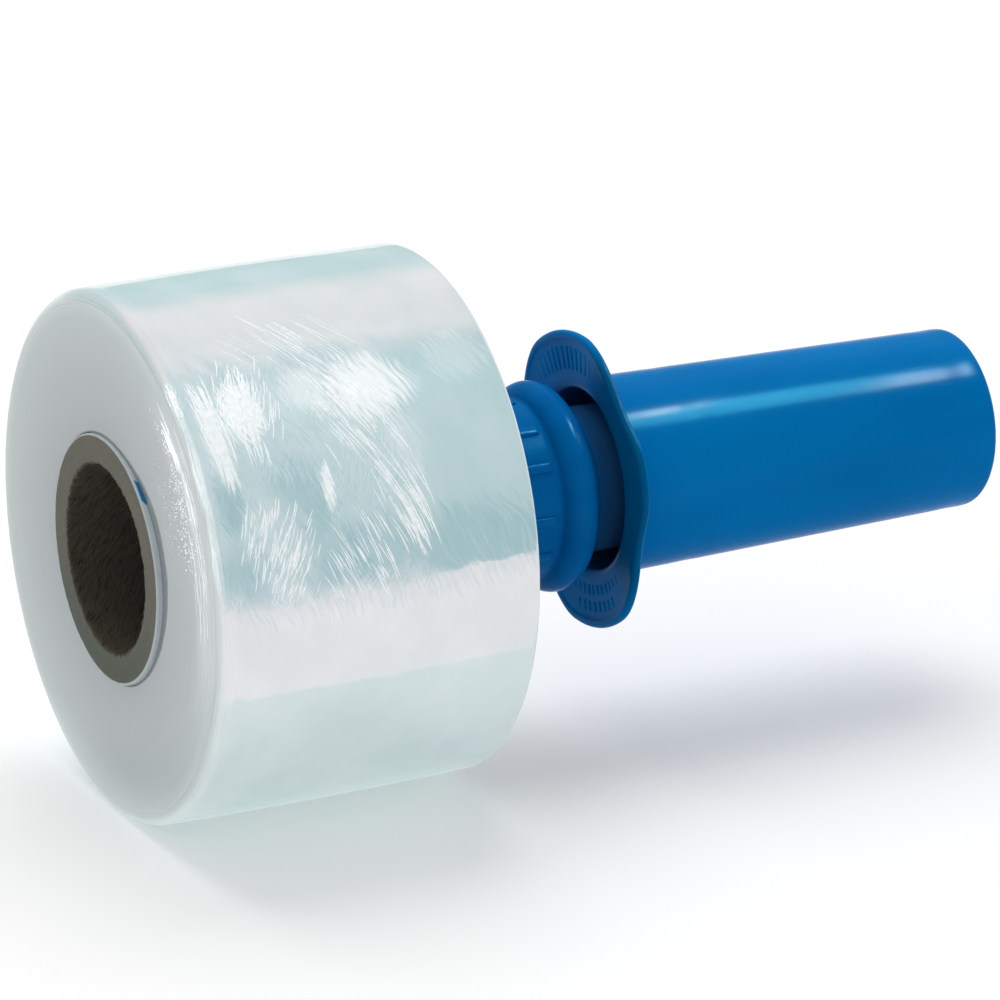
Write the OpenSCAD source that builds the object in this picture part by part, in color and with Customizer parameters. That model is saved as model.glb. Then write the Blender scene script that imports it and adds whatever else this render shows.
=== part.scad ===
// Hand stretch wrap roll: film wound on a cardboard core, carried on a ribbed
// spindle whose shaft turns inside a closed, flanged grip sleeve.
// The roll lies on its side with its axis along X, the open core end at -X.

/* [Film roll] */
// Outside diameter of the wound film at its rims
film_d = 107; // [80:1:130]
// Width of the film
film_w = 68.6; // [50:0.1:120]
// How much fuller the roll is in the middle, on the radius
film_crown = 0.35; // [0:0.05:1]
// Rounding of the rim at the open end
rim_near = 3; // [0.5:0.1:5]
// Rounding of the rim at the handle end
rim_far = 1; // [0.3:0.1:5]
// How far the first turns lie back from the rim at the open end
face_dish = 1.1; // [0:0.1:2]
// Width of the flat spot that the roll lies on
flat_w = 14; // [8:0.5:18]

/* [Core] */
// Bore of the cardboard core
core_id = 38; // [30:0.1:50]
// Wall of the core
core_wall = 6; // [3:0.1:8]
// Length of the core
core_len = 76.2; // [60:0.1:140]
// How far the core stands out beyond the film's rim at the open end
core_proud = 0.3; // [0.1:0.1:2]
// How far the spindle's ribs press back the core's wall
rib_bite = 0.1; // [0.05:0.01:0.3]

/* [Start tape] */
// Thickness of the tape that holds the first turn
tape_t = 0.15; // [0.05:0.01:0.3]
// Width of the tape round the core
tape_w = 4.5; // [2:0.1:12]
// Length of the tape along the core
tape_len = 8; // [3:0.5:40]
// How far the tape runs round the core for each unit along it
tape_slant = 1.6; // [0:0.1:2]
// Where the tape lies, turned up from the level of the axis
tape_at = 51; // [0:1:360]

/* [Spindle] */
// Depth of the spindle's nose behind the core's open end
nose_depth = 24.5; // [15:0.5:40]
// Height of the ribs on the spindle
rib_h = 0.6; // [0.3:0.05:1.2]
// Width of each rib
rib_w = 2; // [1:0.1:3]
// Number of pairs of ribs
rib_pairs = 6; // [3:1:8]
// Angle between the two ribs of a pair
rib_spread = 26; // [12:1:32]
// Distance from the film to the middle of the bead
bead_at = 26.9; // [22:0.1:40]
// Radius of the bead's round section
bead_round = 3.9; // [3:0.1:6]
// Outside diameter of the bead
bead_d = 43.4; // [40:0.1:50]
// Length of the low collar behind the bead
collar_len = 2; // [0.5:0.1:3]
// Diameter of the shaft behind the bead
shaft_d = 30; // [26:0.1:31]
// Diameter of the shaft's rear journal
journal_d = 27.2; // [22:0.1:28]
// Wall of the hollow shaft
shaft_wall = 2.2; // [1.5:0.1:3.5]

/* [Grip sleeve] */
// Distance from the bead's middle to the front face of the flange
flange_gap = 9.1; // [8:0.1:15]
// Length of the grip from the flange's front face to its closed end
grip_len = 88.6; // [70:0.1:130]
// Outside diameter of the grip behind the flange
grip_d = 40.8; // [39:0.1:45]
// Outside diameter of the grip at its closed end
grip_end_d = 37.4; // [35:0.1:45]
// Wall of the grip
grip_wall = 1.9; // [1.4:0.1:3]
// Thickness of the closed end
end_wall = 2.4; // [1.5:0.1:4]
// Rounding of the closed end's edge
end_round = 1.5; // [0.5:0.1:3]
// Rounding inside the mouth
mouth_round = 1.5; // [0.5:0.1:2]
// Running clearance of the bearing lands, on the radius
run_gap = 0.05; // [0.02:0.01:0.1]
// Distance from the flange's front face to the front land
land_at = 18.6; // [14:0.1:40]
// Width of each land
land_w = 3.5; // [2:0.1:6]
// Depth of the groove that the front land snaps into
snap_depth = 0.5; // [0.2:0.05:0.9]
// Play of the front land in its groove at each side
end_play = 0.3; // [0.1:0.05:0.6]

/* [Flange] */
// Thickness of the flange
flange_t = 1.8; // [1.5:0.1:4]
// Radius of the two large lobes
lobe_r = 30.6; // [27:0.1:36]
// Radius at the dips beside the lobes
dip_r = 26.2; // [23:0.1:30]
// Radius of the two small side bumps
bump_r = 28.9; // [25:0.1:34]
// How far the lobes are turned back from upright
lobe_tilt = 17.3; // [0:0.1:45]
// Chamfer round the flange's edges
flange_edge = 0.5; // [0.2:0.1:0.7]
// Width of the raised lip round each lobe
lip_w = 1.7; // [1:0.1:3]
// Depth of the hollow inside the lip
panel_depth = 0.55; // [0.2:0.05:0.9]
// Height of the grip ridges on the lobes
ridge_h = 0.3; // [0.1:0.05:0.5]

/* [Hidden] */
$fn = 96;

// Slack of the ribs in the core, and of the rib ends from nose and bead
rib_clear = 0.05;
rib_start = 2;
rib_stop = 1.2;
// Turn of the first pair of ribs
rib_turn = 32;
// Height of the low collar, and the length of its slope
collar_h = 0.5;
collar_ramp = 0.4;
// Rounding where the neck meets the bead, and the nose's chamfer
bead_fillet = 1;
nose_lead = 2.5;
// How far the tape starts behind the core's end
tape_back = 0.4;
// How far the rear land and the shaft's end lie from the closed end
rear_land_back = 5;
end_gap = 1;
// Chamfer of the core's outer edges
core_edge = 0.3;
// Turns from the middle of a lobe where it ends, where the dip lies and where a bump begins
lobe_half = 19;
dip_at = 59;
bump_half = 84;
// Ridges on each lobe: inner radius, outer radius, number, turn from one to the next
ridge_w = 0.5;
upper_rows = [[22.6, 27.6, 13, 4.6]];
lower_rows = [[21.8, 24.2, 12, 4.8], [25.2, 27.6, 8, 4.8]];

film_r = film_d / 2;
core_r = core_id / 2 + core_wall;
film_bore_r = core_r + tape_t;
core_x0 = -core_proud;
tape_x0 = core_x0 + tape_back;
core_x1 = core_x0 + core_len;
nose_x = core_x0 + nose_depth;
seat_r = core_id / 2 + rib_bite;
rib_r = seat_r - rib_clear;
neck_r = rib_r - rib_h;
bead_x = film_w + bead_at;
bead_cr = bead_d / 2 - bead_round;
bead_x1 = bead_x + bead_round;
shaft_r = shaft_d / 2;
journal_r = journal_d / 2;
mouth_x = bead_x + flange_gap;
grip_x1 = mouth_x + grip_len;
end_in_x = grip_x1 - end_wall;
land_x = mouth_x + land_at;
rear_land_x = end_in_x - rear_land_back;
shaft_x1 = end_in_x - end_gap;
grip_r0 = grip_d / 2;
grip_r1 = grip_end_d / 2;
mouth_r = grip_r0 - grip_wall + 0.2;
flat_z = sqrt(pow(film_r, 2) - pow(flat_w / 2, 2));
mid_x = (core_x0 + grip_x1) / 2;

function grip_r(x) = grip_r0 + (grip_r1 - grip_r0) * (x - mouth_x) / grip_len;
function ease(t) = t * t * (3 - 2 * t);
function arc(cx, cr, r, a0, a1, n) = [for (i = [0:n]) let (a = a0 + (a1 - a0) * i / n) [cr + r * sin(a), cx + r * cos(a)]];

// Places a solid of revolution: its own Z runs along the roll's axis.
module on_axis() {
  translate([-mid_x, 0, flat_z]) rotate([0, 90, 0]) children();
}

module turned(points) {
  rotate_extrude() polygon(points);
}

// Wound film: near face dished toward the core, crowned outside, flat spot below.
module film_roll() {
  crown_n = 14;
  span = film_w - rim_near - rim_far;
  outside = [for (i = [0:crown_n]) [film_r + film_crown * sin(180 * i / crown_n), rim_near + span * i / crown_n]];
  face_w = film_r - rim_near - film_bore_r;
  face = [for (i = [0:5]) [film_bore_r + face_w * i / 5, face_dish * pow(1 - i / 5, 2)]];
  color([0.86, 0.91, 0.92]) intersection() {
    on_axis() turned(concat(
      face,
      arc(rim_near, film_r - rim_near, rim_near, 165, 105, 4),
      outside,
      arc(film_w - rim_far, film_r - rim_far, rim_far, 60, 0, 3),
      [[film_bore_r, film_w]]
    ));
    translate([-film_w * 2, -film_d, 0]) cube([film_w * 4, film_d * 2, film_d * 2]);
  }
}

// Spiral wound cardboard tube, pressed back a little where the spindle sits.
module core() {
  bore_r = core_id / 2;
  color([0.55, 0.50, 0.42]) on_axis() turned([
    [bore_r, core_x0],
    [core_r - core_edge, core_x0],
    [core_r, core_x0 + core_edge],
    [core_r, core_x1 - core_edge],
    [core_r - core_edge, core_x1],
    [seat_r, core_x1],
    [seat_r, nose_x],
    [bore_r, nose_x - 0.5]
  ]);
}

// Slanted piece of tape round the core, under the first turn of film.
module start_tape() {
  run = tape_len * tape_slant;
  color([0.02, 0.33, 0.62]) on_axis() intersection() {
    translate([0, 0, tape_x0]) difference() {
      cylinder(h = tape_len, r = core_r + tape_t);
      translate([0, 0, -1]) cylinder(h = tape_len + 2, r = core_r);
    }
    rotate([0, 0, 270 - tape_at]) translate([core_r / 2, 0, tape_x0]) rotate([90, 0, 90])
      linear_extrude(height = core_r) polygon([
        [-tape_w / 2, 0],
        [tape_w / 2, 0],
        [tape_w / 2 + run, tape_len],
        [-tape_w / 2 + run, tape_len]
      ]);
  }
}

module rib() {
  start_x = nose_x + rib_start;
  end_x = bead_x - bead_round - rib_stop;
  slope = 1.2;
  translate([0, rib_w / 2, 0]) rotate([90, 0, 0]) linear_extrude(height = rib_w) polygon([
    [neck_r - 1, start_x - 1],
    [rib_r, start_x + slope],
    [rib_r, end_x - slope / 2],
    [neck_r - 1, end_x + 0.6]
  ]);
}

// Moulded spindle: ribbed neck in the core, bead, hollow shaft inside the sleeve.
module spindle() {
  fillet = bead_fillet;
  fillet_a = asin((neck_r + fillet - bead_cr) / (bead_round + fillet));
  fillet_x = bead_x - (bead_round + fillet) * cos(fillet_a);
  groove_r = shaft_r - snap_depth;
  groove_x0 = land_x - end_play;
  groove_x1 = land_x + land_w + end_play;
  taper_x = rear_land_x - 2;
  hollow_r = journal_r - shaft_wall;
  collar_r = shaft_r + collar_h;
  outline = concat(
    [[0, nose_x], [neck_r - nose_lead, nose_x], [neck_r, nose_x + nose_lead]],
    arc(fillet_x, neck_r + fillet, fillet, 270, 360 - fillet_a, 4),
    arc(bead_x, bead_cr, bead_round, 177 - fillet_a, 20, 14),
    [[collar_r, bead_x1], [collar_r, bead_x1 + collar_len]],
    [[shaft_r, bead_x1 + collar_len + collar_ramp], [shaft_r, groove_x0], [groove_r, groove_x0]],
    [[groove_r, groove_x1], [shaft_r, groove_x1], [shaft_r, groove_x1 + 1]],
    [[journal_r, taper_x], [journal_r, shaft_x1 - 1], [journal_r - 0.8, shaft_x1]],
    [[hollow_r, shaft_x1], [hollow_r, bead_x], [0, bead_x]]
  );
  color([0.01, 0.32, 0.60]) on_axis() {
    turned(outline);
    for (i = [0:rib_pairs - 1], side = [0, 1])
      rotate([0, 0, rib_turn + i * 360 / rib_pairs + side * rib_spread]) rib();
  }
}

// Radius of the flange's outline, turned by a from the middle of a lobe.
function rim_at(a) =
  a < lobe_half ? lobe_r :
  a < dip_at ? lobe_r - (lobe_r - dip_r) * ease((a - lobe_half) / (dip_at - lobe_half)) :
  a < bump_half ? dip_r + (bump_r - dip_r) * ease((a - dip_at) / (bump_half - dip_at)) :
  bump_r;

module flange_outline(inset = 0) {
  polygon([for (i = [0:3:357])
    let (fold = i > 180 ? 360 - i : i, a = fold > 90 ? 180 - fold : fold, r = rim_at(a) - inset)
    [r * cos(i), r * sin(i)]]);
}

module flange_plate() {
  shrink = (lobe_r - flange_edge) / lobe_r;
  translate([0, 0, flange_edge]) linear_extrude(height = flange_t - 2 * flange_edge) flange_outline();
  translate([0, 0, flange_t - flange_edge])
    linear_extrude(height = flange_edge, scale = shrink) flange_outline();
  translate([0, 0, flange_edge]) mirror([0, 0, 1])
    linear_extrude(height = flange_edge, scale = shrink) flange_outline();
}

// Hollow inside the lip: deepest in the middle of a lobe, running out at its sides.
module lobe_panel() {
  reach = 18;
  sweep_r = pow(reach, 2) / (2 * panel_depth);
  intersection() {
    translate([0, 0, -1]) linear_extrude(height = 3) flange_outline(lip_w);
    translate([mouth_r + mouth_round + 0.6, 0, panel_depth - sweep_r])
      rotate([0, 90, 0]) cylinder(h = lobe_r, r = sweep_r, $fn = 360);
  }
}

module lobe_ridges(rows) {
  for (row = rows, i = [0:row[2] - 1]) rotate([0, 0, (i - (row[2] - 1) / 2) * row[3]])
    translate([row[0], -ridge_w / 2, panel_depth - ridge_h])
      cube([row[1] - row[0], ridge_w, ridge_h + ridge_w]);
}

// Closed, flanged sleeve that turns on the shaft, with two bearing lands inside.
module grip_sleeve() {
  land_r = shaft_r - snap_depth + run_gap;
  rear_r = journal_r + run_gap;
  in_r0 = mouth_r;
  in_r1 = grip_r1 - grip_wall;
  color([0.0, 0.40, 0.70]) on_axis() difference() {
    union() {
      turned(concat(
        [[0, mouth_x + flange_edge], [grip_r0, mouth_x + flange_edge]],
        [[grip_r0 + 0.8, mouth_x + flange_t - 0.05], [grip_r(mouth_x + flange_t + 0.8), mouth_x + flange_t + 0.8]],
        arc(grip_x1 - end_round, grip_r1 - end_round, end_round, 90, 0, 6),
        [[0, grip_x1]]
      ));
      translate([0, 0, mouth_x]) rotate([0, 0, 180 - lobe_tilt]) difference() {
        flange_plate();
        lobe_panel();
        rotate([0, 0, 180]) lobe_panel();
      }
      translate([0, 0, mouth_x]) rotate([0, 0, 180 - lobe_tilt]) {
        lobe_ridges(upper_rows);
        rotate([0, 0, 180]) lobe_ridges(lower_rows);
      }
    }
    turned(concat(
      [[0, mouth_x - 1], [mouth_r + mouth_round, mouth_x - 1]],
      [for (a = [0:15:90]) [mouth_r + mouth_round * (1 - sin(a)), mouth_x + mouth_round * (1 - cos(a))]],
      [[in_r0 - 0.2, land_x], [land_r, land_x], [land_r, land_x + land_w], [in_r0 - 0.3, land_x + land_w]],
      [[in_r1, rear_land_x], [rear_r, rear_land_x], [rear_r, rear_land_x + land_w]],
      [[in_r1, rear_land_x + land_w], [in_r1, end_in_x], [0, end_in_x]]
    ));
  }
}

film_roll();
core();
start_tape();
spindle();
grip_sleeve();
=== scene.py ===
# Hand stretch wrap roll: clear film on a cardboard core, with a ribbed spindle and a turning grip sleeve.
import math

import bmesh
import bpy
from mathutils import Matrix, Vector, noise


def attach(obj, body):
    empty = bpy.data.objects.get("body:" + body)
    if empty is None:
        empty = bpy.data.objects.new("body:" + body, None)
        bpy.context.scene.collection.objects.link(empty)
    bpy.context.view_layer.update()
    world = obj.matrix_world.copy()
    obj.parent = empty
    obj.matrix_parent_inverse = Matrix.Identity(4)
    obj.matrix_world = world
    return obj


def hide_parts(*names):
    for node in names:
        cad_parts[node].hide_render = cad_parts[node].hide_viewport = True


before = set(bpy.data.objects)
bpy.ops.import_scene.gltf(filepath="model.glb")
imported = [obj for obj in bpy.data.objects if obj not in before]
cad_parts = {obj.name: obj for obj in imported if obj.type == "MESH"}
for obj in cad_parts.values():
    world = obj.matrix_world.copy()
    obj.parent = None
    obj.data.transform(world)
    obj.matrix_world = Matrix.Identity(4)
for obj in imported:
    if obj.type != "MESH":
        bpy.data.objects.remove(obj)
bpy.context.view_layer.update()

print("frame loaded:", ", ".join(sorted(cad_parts)))

mm = 0.001
axisPlace = {"middle": 96.45, "height": 53.04}  # station of the frame's origin, height of the roll's axis


# A place on the roll: station along the axis from the film's open rim, distance from the axis,
# and turn in degrees, from the side that faces -Y up towards +Z. All lengths in millimetres.
def onRoll(station, radius, turn):
    t = math.radians(turn)
    return ((station - axisPlace["middle"]) * mm,
            -radius * math.cos(t) * mm,
            (axisPlace["height"] + radius * math.sin(t)) * mm)


def smooth(low, high, value):  # 0 below low, 1 above high, eased between
    t = min(max((value - low) / (high - low), 0.0), 1.0)
    return t * t * (3 - 2 * t)


def hump(value, centre, width):  # 1 at the centre, fading out over the width
    return math.exp(-((value - centre) / width) ** 2)


def grain(x, y, z):  # smooth noise, about -1 to 1
    return noise.noise(Vector((x, y, z)))


# Sizes and finish of the wound film, millimetres and degrees. A share says how strongly a tone is blended in.
filmLook = {
    "radius": 53.5, "width": 68.6, "crown": 0.35, "rimNear": 3.0, "rimFar": 1.0,
    "bore": 25.15, "dish": 1.1, "largest": 53.84, "around": 420, "sideRows": 76, "faceRows": 34,
    "creasedTurn": (3.0, 64.0), "creasedStation": (1.0, 50.0), "backCreased": (150, 170, 215, 240), "backShare": 0.6,
    "creasePaintedGlow": 0.20, "bubblePaintedGlow": 0.42,
    # how much the creases of one field differ, and how deep their roots lie in the film
    "tiltSpread": 9.0, "lengthSpread": 0.6, "sizeSpread": 0.4, "faceSpread": 0.5, "rooted": 0.04,
    "sideColor": (0.59, 0.745, 0.765), "creaseColor": (0.93, 0.95, 0.96), "dullCreaseColor": (0.78, 0.86, 0.88),
    "faceDepthAndLightColors": [(0.0, (0.21, 0.255, 0.275)), (0.25, (0.28, 0.335, 0.35)), (0.62, (0.36, 0.43, 0.435)),
                   (0.9, (0.42, 0.52, 0.52)), (1.0, (0.59, 0.745, 0.765))],
    "milkyColor": (0.74, 0.83, 0.845), "milkyShare": 0.65, "clearAndShadeColor": (0.20, 0.42, 0.48),
    "hazeAndGlareColor": (0.97, 0.975, 0.98), "edgeColor": (0.80, 0.84, 0.85), "edgeShare": 0.6,
    "pulledTurn": 18.0, "pulledShare": 0.7, "paintedThroughColor": (0.17, 0.205, 0.20), "paintedThroughLow": 0.4,
    "paintedThroughTop": 0.6, "paintedGlareGlow": (0.36, 0.33, 0.32), "paintedGlareGlowShare": 0.7, "bumpDistance": 0.00012,
}

# Node trees

def newTree(name, displayColor):
    material = bpy.data.materials.new(name)
    material.use_nodes = True
    material.diffuse_color = (*displayColor, 1)
    tree = material.node_tree
    tree.nodes.clear()
    return material, tree


def addNode(tree, kind, **settings):
    node = tree.nodes.new(kind)
    for key, value in settings.items():
        setattr(node, key, value)
    return node


def feed(tree, source, target):  # a socket is linked, a number or colour is written
    if isinstance(source, bpy.types.NodeSocket):
        tree.links.new(source, target)
    else:
        target.default_value = source


def calc(tree, operation, *values, clamp=False):
    node = addNode(tree, "ShaderNodeMath", operation=operation, use_clamp=clamp)
    for socket, value in zip(node.inputs, values):
        feed(tree, value, socket)
    return node.outputs[0]


def times(tree, *values):
    return calc(tree, "MULTIPLY", *values)


def plus(tree, *values, clamp=False):
    return calc(tree, "ADD", *values, clamp=clamp)


def minus(tree, *values, clamp=False):
    return calc(tree, "SUBTRACT", *values, clamp=clamp)


def vectorCalc(tree, operation, *values):
    node = addNode(tree, "ShaderNodeVectorMath", operation=operation)
    for socket, value in zip(node.inputs, values):
        feed(tree, value, socket)
    return node.outputs[0]


def joined(tree, x=None, y=None, z=None):  # three numbers as one vector
    node = addNode(tree, "ShaderNodeCombineXYZ")
    for value, socket in zip((x, y, z), node.inputs):
        if value is not None:
            feed(tree, value, socket)
    return node.outputs[0]


def parted(tree, vector):  # the three numbers of a vector
    node = addNode(tree, "ShaderNodeSeparateXYZ")
    feed(tree, vector, node.inputs[0])
    return node.outputs


def objectPlace(tree):
    return addNode(tree, "ShaderNodeTexCoord").outputs["Object"]


def endIn(tree, surface, kind="ShaderNodeOutputMaterial"):
    feed(tree, surface, addNode(tree, kind).inputs["Surface"])


def fade(tree, value, low, high, to=(0.0, 1.0)):  # eased step between low and high
    node = addNode(tree, "ShaderNodeMapRange", interpolation_type="SMOOTHSTEP")
    feed(tree, value, node.inputs["Value"])
    node.inputs["From Min"].default_value = low
    node.inputs["From Max"].default_value = high
    node.inputs["To Min"].default_value = to[0]
    node.inputs["To Max"].default_value = to[1]
    return node.outputs["Result"]


def noiseAt(tree, vector, scale, detail=3.0, rough=0.5):
    node = addNode(tree, "ShaderNodeTexNoise")
    feed(tree, vector, node.inputs["Vector"])
    feed(tree, scale, node.inputs["Scale"])
    node.inputs["Detail"].default_value = detail
    node.inputs["Roughness"].default_value = rough
    return node.outputs[0]


def mapped(tree, vector, scale, turn=0.0):
    node = addNode(tree, "ShaderNodeMapping", vector_type="POINT")
    feed(tree, vector, node.inputs["Vector"])
    node.inputs["Rotation"].default_value = (0, 0, math.radians(turn))
    node.inputs["Scale"].default_value = scale
    return node.outputs[0]


def blendColor(tree, factor, first, second):
    node = addNode(tree, "ShaderNodeMix", data_type="RGBA")
    feed(tree, factor, node.inputs[0])
    for source, target in ((first, node.inputs[6]), (second, node.inputs[7])):
        feed(tree, source if isinstance(source, bpy.types.NodeSocket) else (*source, 1), target)
    return node.outputs[2]


def ramp(tree, value, stops):
    node = addNode(tree, "ShaderNodeValToRGB")
    feed(tree, value, node.inputs[0])
    bar = node.color_ramp
    while len(bar.elements) < len(stops):
        bar.elements.new(0.5)
    for element, (place, color) in zip(bar.elements, stops):
        element.position = place
        element.color = (*color, 1)
    return node.outputs[0]


def principled(tree, color, roughness, height=None, bumpDistance=0.0001, **levels):
    shader = addNode(tree, "ShaderNodeBsdfPrincipled")
    feed(tree, color if isinstance(color, bpy.types.NodeSocket) else (*color, 1), shader.inputs["Base Color"])
    feed(tree, roughness, shader.inputs["Roughness"])
    for name, value in levels.items():
        shader.inputs[name].default_value = value
    if height is not None:
        bump = addNode(tree, "ShaderNodeBump")
        bump.inputs["Strength"].default_value = 1.0
        bump.inputs["Distance"].default_value = bumpDistance
        feed(tree, height, bump.inputs["Height"])
        feed(tree, bump.outputs[0], shader.inputs["Normal"])
    endIn(tree, shader.outputs[0])
    return shader


# A node group with named sockets. An input is given as its first value, or as the name of its type.
def newGroup(name, inputs, outputs, kind="ShaderNodeTree"):
    group = bpy.data.node_groups.new(name, kind)
    for label, value in inputs.items():
        typeName = value if isinstance(value, str) else type(value).__name__.capitalize()
        socket = group.interface.new_socket(label, in_out="INPUT", socket_type="NodeSocket" + typeName)
        if not isinstance(value, str):
            socket.default_value = value
    for label, typeName in outputs.items():
        group.interface.new_socket(label, in_out="OUTPUT", socket_type="NodeSocket" + typeName)
    return group, group.nodes.new("NodeGroupInput").outputs, group.nodes.new("NodeGroupOutput").inputs


def useGroup(tree, group, **values):
    node = addNode(tree, "ShaderNodeGroup", node_tree=group)
    for label, value in values.items():
        feed(tree, value, node.inputs[label])
    return node.outputs


# Where a point lies on the roll, read from its Object coordinates: turn in degrees with its seam at
# the bottom, station and radius in millimetres, the skin unrolled flat, and the height over the floor.
def makeRollPlace():
    group, _, out = newGroup("rollPlace", {}, {
        "Turn": "Float", "Station": "Float", "Radius": "Float", "Flat": "Vector", "Lift": "Float"})
    metres = parted(group, objectPlace(group))
    x = calc(group, "MULTIPLY_ADD", metres[0], 1000.0, axisPlace["middle"])
    y = times(group, metres[1], 1000.0)
    z = calc(group, "MULTIPLY_ADD", metres[2], 1000.0, -axisPlace["height"])
    radius = calc(group, "SQRT", plus(group, times(group, y, y), times(group, z, z)))
    fromTop = calc(group, "DEGREES", calc(group, "ARCTAN2", y, z))
    turn = plus(group, fromTop, 90.0)
    flat = joined(group, times(group, turn, math.pi / 180 * filmLook["radius"]),
                  plus(group, x, minus(group, radius, filmLook["radius"])))
    lift = plus(group, z, axisPlace["height"])
    for label, source in (("Turn", turn), ("Station", x), ("Radius", radius), ("Flat", flat), ("Lift", lift)):
        feed(group, source, out[label])
    return group


# Long fine ridges on the flat skin: used for creases, for the edges of the turns and for scuffs.
def makeStreaks():
    group, given, out = newGroup(
        "streaks", {"Vector": "Vector", "Tilt": 0.0, "Length": 10.0, "Width": 0.6, "Waver": 0.3},
        {"Height": "Float", "Crest": "Float"})
    turned = addNode(group, "ShaderNodeVectorRotate", rotation_type="Z_AXIS")
    feed(group, given["Vector"], turned.inputs["Vector"])
    feed(group, calc(group, "RADIANS", given["Tilt"]), turned.inputs["Angle"])
    along, across, _ = parted(group, turned.outputs[0])
    wander = noiseAt(group, turned.outputs[0], 0.11, detail=1.0)
    across = plus(group, across, times(group, times(group, wander, 9.0), given["Waver"]))
    stretched = joined(group, calc(group, "DIVIDE", along, given["Length"]),
                       calc(group, "DIVIDE", across, given["Width"]))
    raw = noiseAt(group, stretched, 1.0, detail=2.0, rough=0.55)
    fromMiddle = calc(group, "ABSOLUTE", minus(group, raw, 0.5))
    ridge = minus(group, 1.0, times(group, fromMiddle, 6.0), clamp=True)
    feed(group, raw, out["Height"])
    feed(group, ridge, out["Crest"])
    return group


# Moulded plastic: a fine grain, slow changes of tone where the flow cooled, and light handling scuffs.
def makeMoulded():
    group, given, out = newGroup("mouldedSkin", {"Grain": 900.0, "Flow": 60.0},
                                 {"Height": "Float", "Tone": "Float", "Scuff": "Float"})
    coordinates = objectPlace(group)
    fine = noiseAt(group, coordinates, given["Grain"])
    slow = noiseAt(group, mapped(group, coordinates, (0.35, 1, 1)), given["Flow"], detail=2.0)
    marks = noiseAt(group, mapped(group, coordinates, (0.15, 1, 1), turn=12), 700.0, detail=2.0)
    patch = noiseAt(group, coordinates, 45.0, detail=1.0)
    scuff = times(group, fade(group, marks, 0.60, 0.72), fade(group, patch, 0.50, 0.68))
    feed(group, calc(group, "MULTIPLY_ADD", slow, 0.8, times(group, fine, 0.35)), out["Height"])
    feed(group, slow, out["Tone"])
    feed(group, scuff, out["Scuff"])
    return group


# Meshes

# Corners of an outline with a rounding each, turned into a dense open outline. Each corner is
# (station, radius, rounding); long runs get points near the roundings so that shading stays flat there.
def softOutline(corners, steps=5, longest=6.0, hold=0.25):
    points = []

    def put(p):
        if not points or (Vector(points[-1]) - Vector(p)).length > 1e-4:
            points.append(tuple(p))

    last = None
    for i, (s, r, rounding) in enumerate(corners):
        here = Vector((s, r))
        if rounding <= 0 or i in (0, len(corners) - 1):
            pieces = [here]
        else:
            before, after = Vector(corners[i - 1][:2]) - here, Vector(corners[i + 1][:2]) - here
            reach = min(rounding, before.length * 0.48, after.length * 0.48)
            a, b = here + before.normalized() * reach, here + after.normalized() * reach
            pieces = [a.lerp(here, t / steps).lerp(here.lerp(b, t / steps), t / steps) for t in range(steps + 1)]
        if last is not None:
            run = pieces[0] - last
            if run.length > 3 * hold:
                put(last + run.normalized() * hold)
                count = max(1, round((run.length - 2 * hold) / longest))
                for k in range(1, count):
                    put(last + run * (k / count))
                put(pieces[0] - run.normalized() * hold)
        for p in pieces:
            put(p)
        last = pieces[-1]
    return points


# A skin of rings round the roll's axis. A ring is a list of places; one place alone is a pole.
def ringMesh(name, rings, loop=False):
    shell = bmesh.new()
    rows = [[shell.verts.new(p) for p in ring] for ring in rings]
    pairs = list(zip(rows, rows[1:] + rows[:1] if loop else rows[1:]))
    for lower, upper in pairs:
        count = max(len(lower), len(upper))
        for k in range(count):
            n = (k + 1) % count
            corners = [lower[k % len(lower)], lower[n % len(lower)], upper[n % len(upper)], upper[k % len(upper)]]
            corners = list(dict.fromkeys(corners))
            if len(corners) > 2:
                shell.faces.new(corners)
    for face in shell.faces:
        face.smooth = True
    return finishMesh(name, shell)


# A closed shell of cross sections joined in turn, with a face over each end
def barMesh(name, rings):
    shell = bmesh.new()
    rows = [[shell.verts.new(p) for p in ring] for ring in rings]
    for lower, upper in zip(rows, rows[1:]):
        for k in range(len(lower)):
            n = (k + 1) % len(lower)
            shell.faces.new((lower[k], lower[n], upper[n], upper[k]))
    shell.faces.new(rows[0])
    shell.faces.new(rows[-1])
    bmesh.ops.remove_doubles(shell, verts=shell.verts, dist=1e-7)
    return finishMesh(name, shell)


def finishMesh(name, shell):  # faces outwards, then a plain mesh
    bmesh.ops.recalc_face_normals(shell, faces=shell.faces)
    if shell.calc_volume(signed=True) < 0:
        bmesh.ops.reverse_faces(shell, faces=shell.faces)
    mesh = bpy.data.meshes.new(name)
    shell.to_mesh(mesh)
    shell.free()
    return mesh


def newObject(name, data, *materials):
    added = bpy.data.objects.new(name, data)
    bpy.context.scene.collection.objects.link(added)
    for material in materials:
        data.materials.append(material)
    return added


def lathe(name, outline, count):
    rings = []
    for station, radius in outline:
        if radius < 1e-6:
            rings.append([onRoll(station, 0, 0)])
        else:
            rings.append([onRoll(station, radius, -90 + 360 * k / count) for k in range(count)])
    return ringMesh(name, rings)


# Puts the meshes of several objects in one, each with its own material, and drops the others
def joinInto(target, others):
    shell = bmesh.new()
    shell.from_mesh(target.data)
    for other in others:
        slots = []
        for material in other.data.materials:
            if material and material not in list(target.data.materials):
                target.data.materials.append(material)
            slots.append(list(target.data.materials).index(material) if material else 0)
        before = len(shell.faces)
        shell.from_mesh(other.data)
        shell.faces.ensure_lookup_table()
        for face in shell.faces[before:]:
            face.material_index = slots[face.material_index]
        bpy.data.objects.remove(other)
    shell.to_mesh(target.data)
    shell.free()


# Geometry Nodes

def setInput(modifier, label, value):
    for item in modifier.node_group.interface.items_tree:
        if item.item_type == "SOCKET" and item.in_out == "INPUT" and item.name == label:
            modifier[item.identifier] = value


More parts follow.
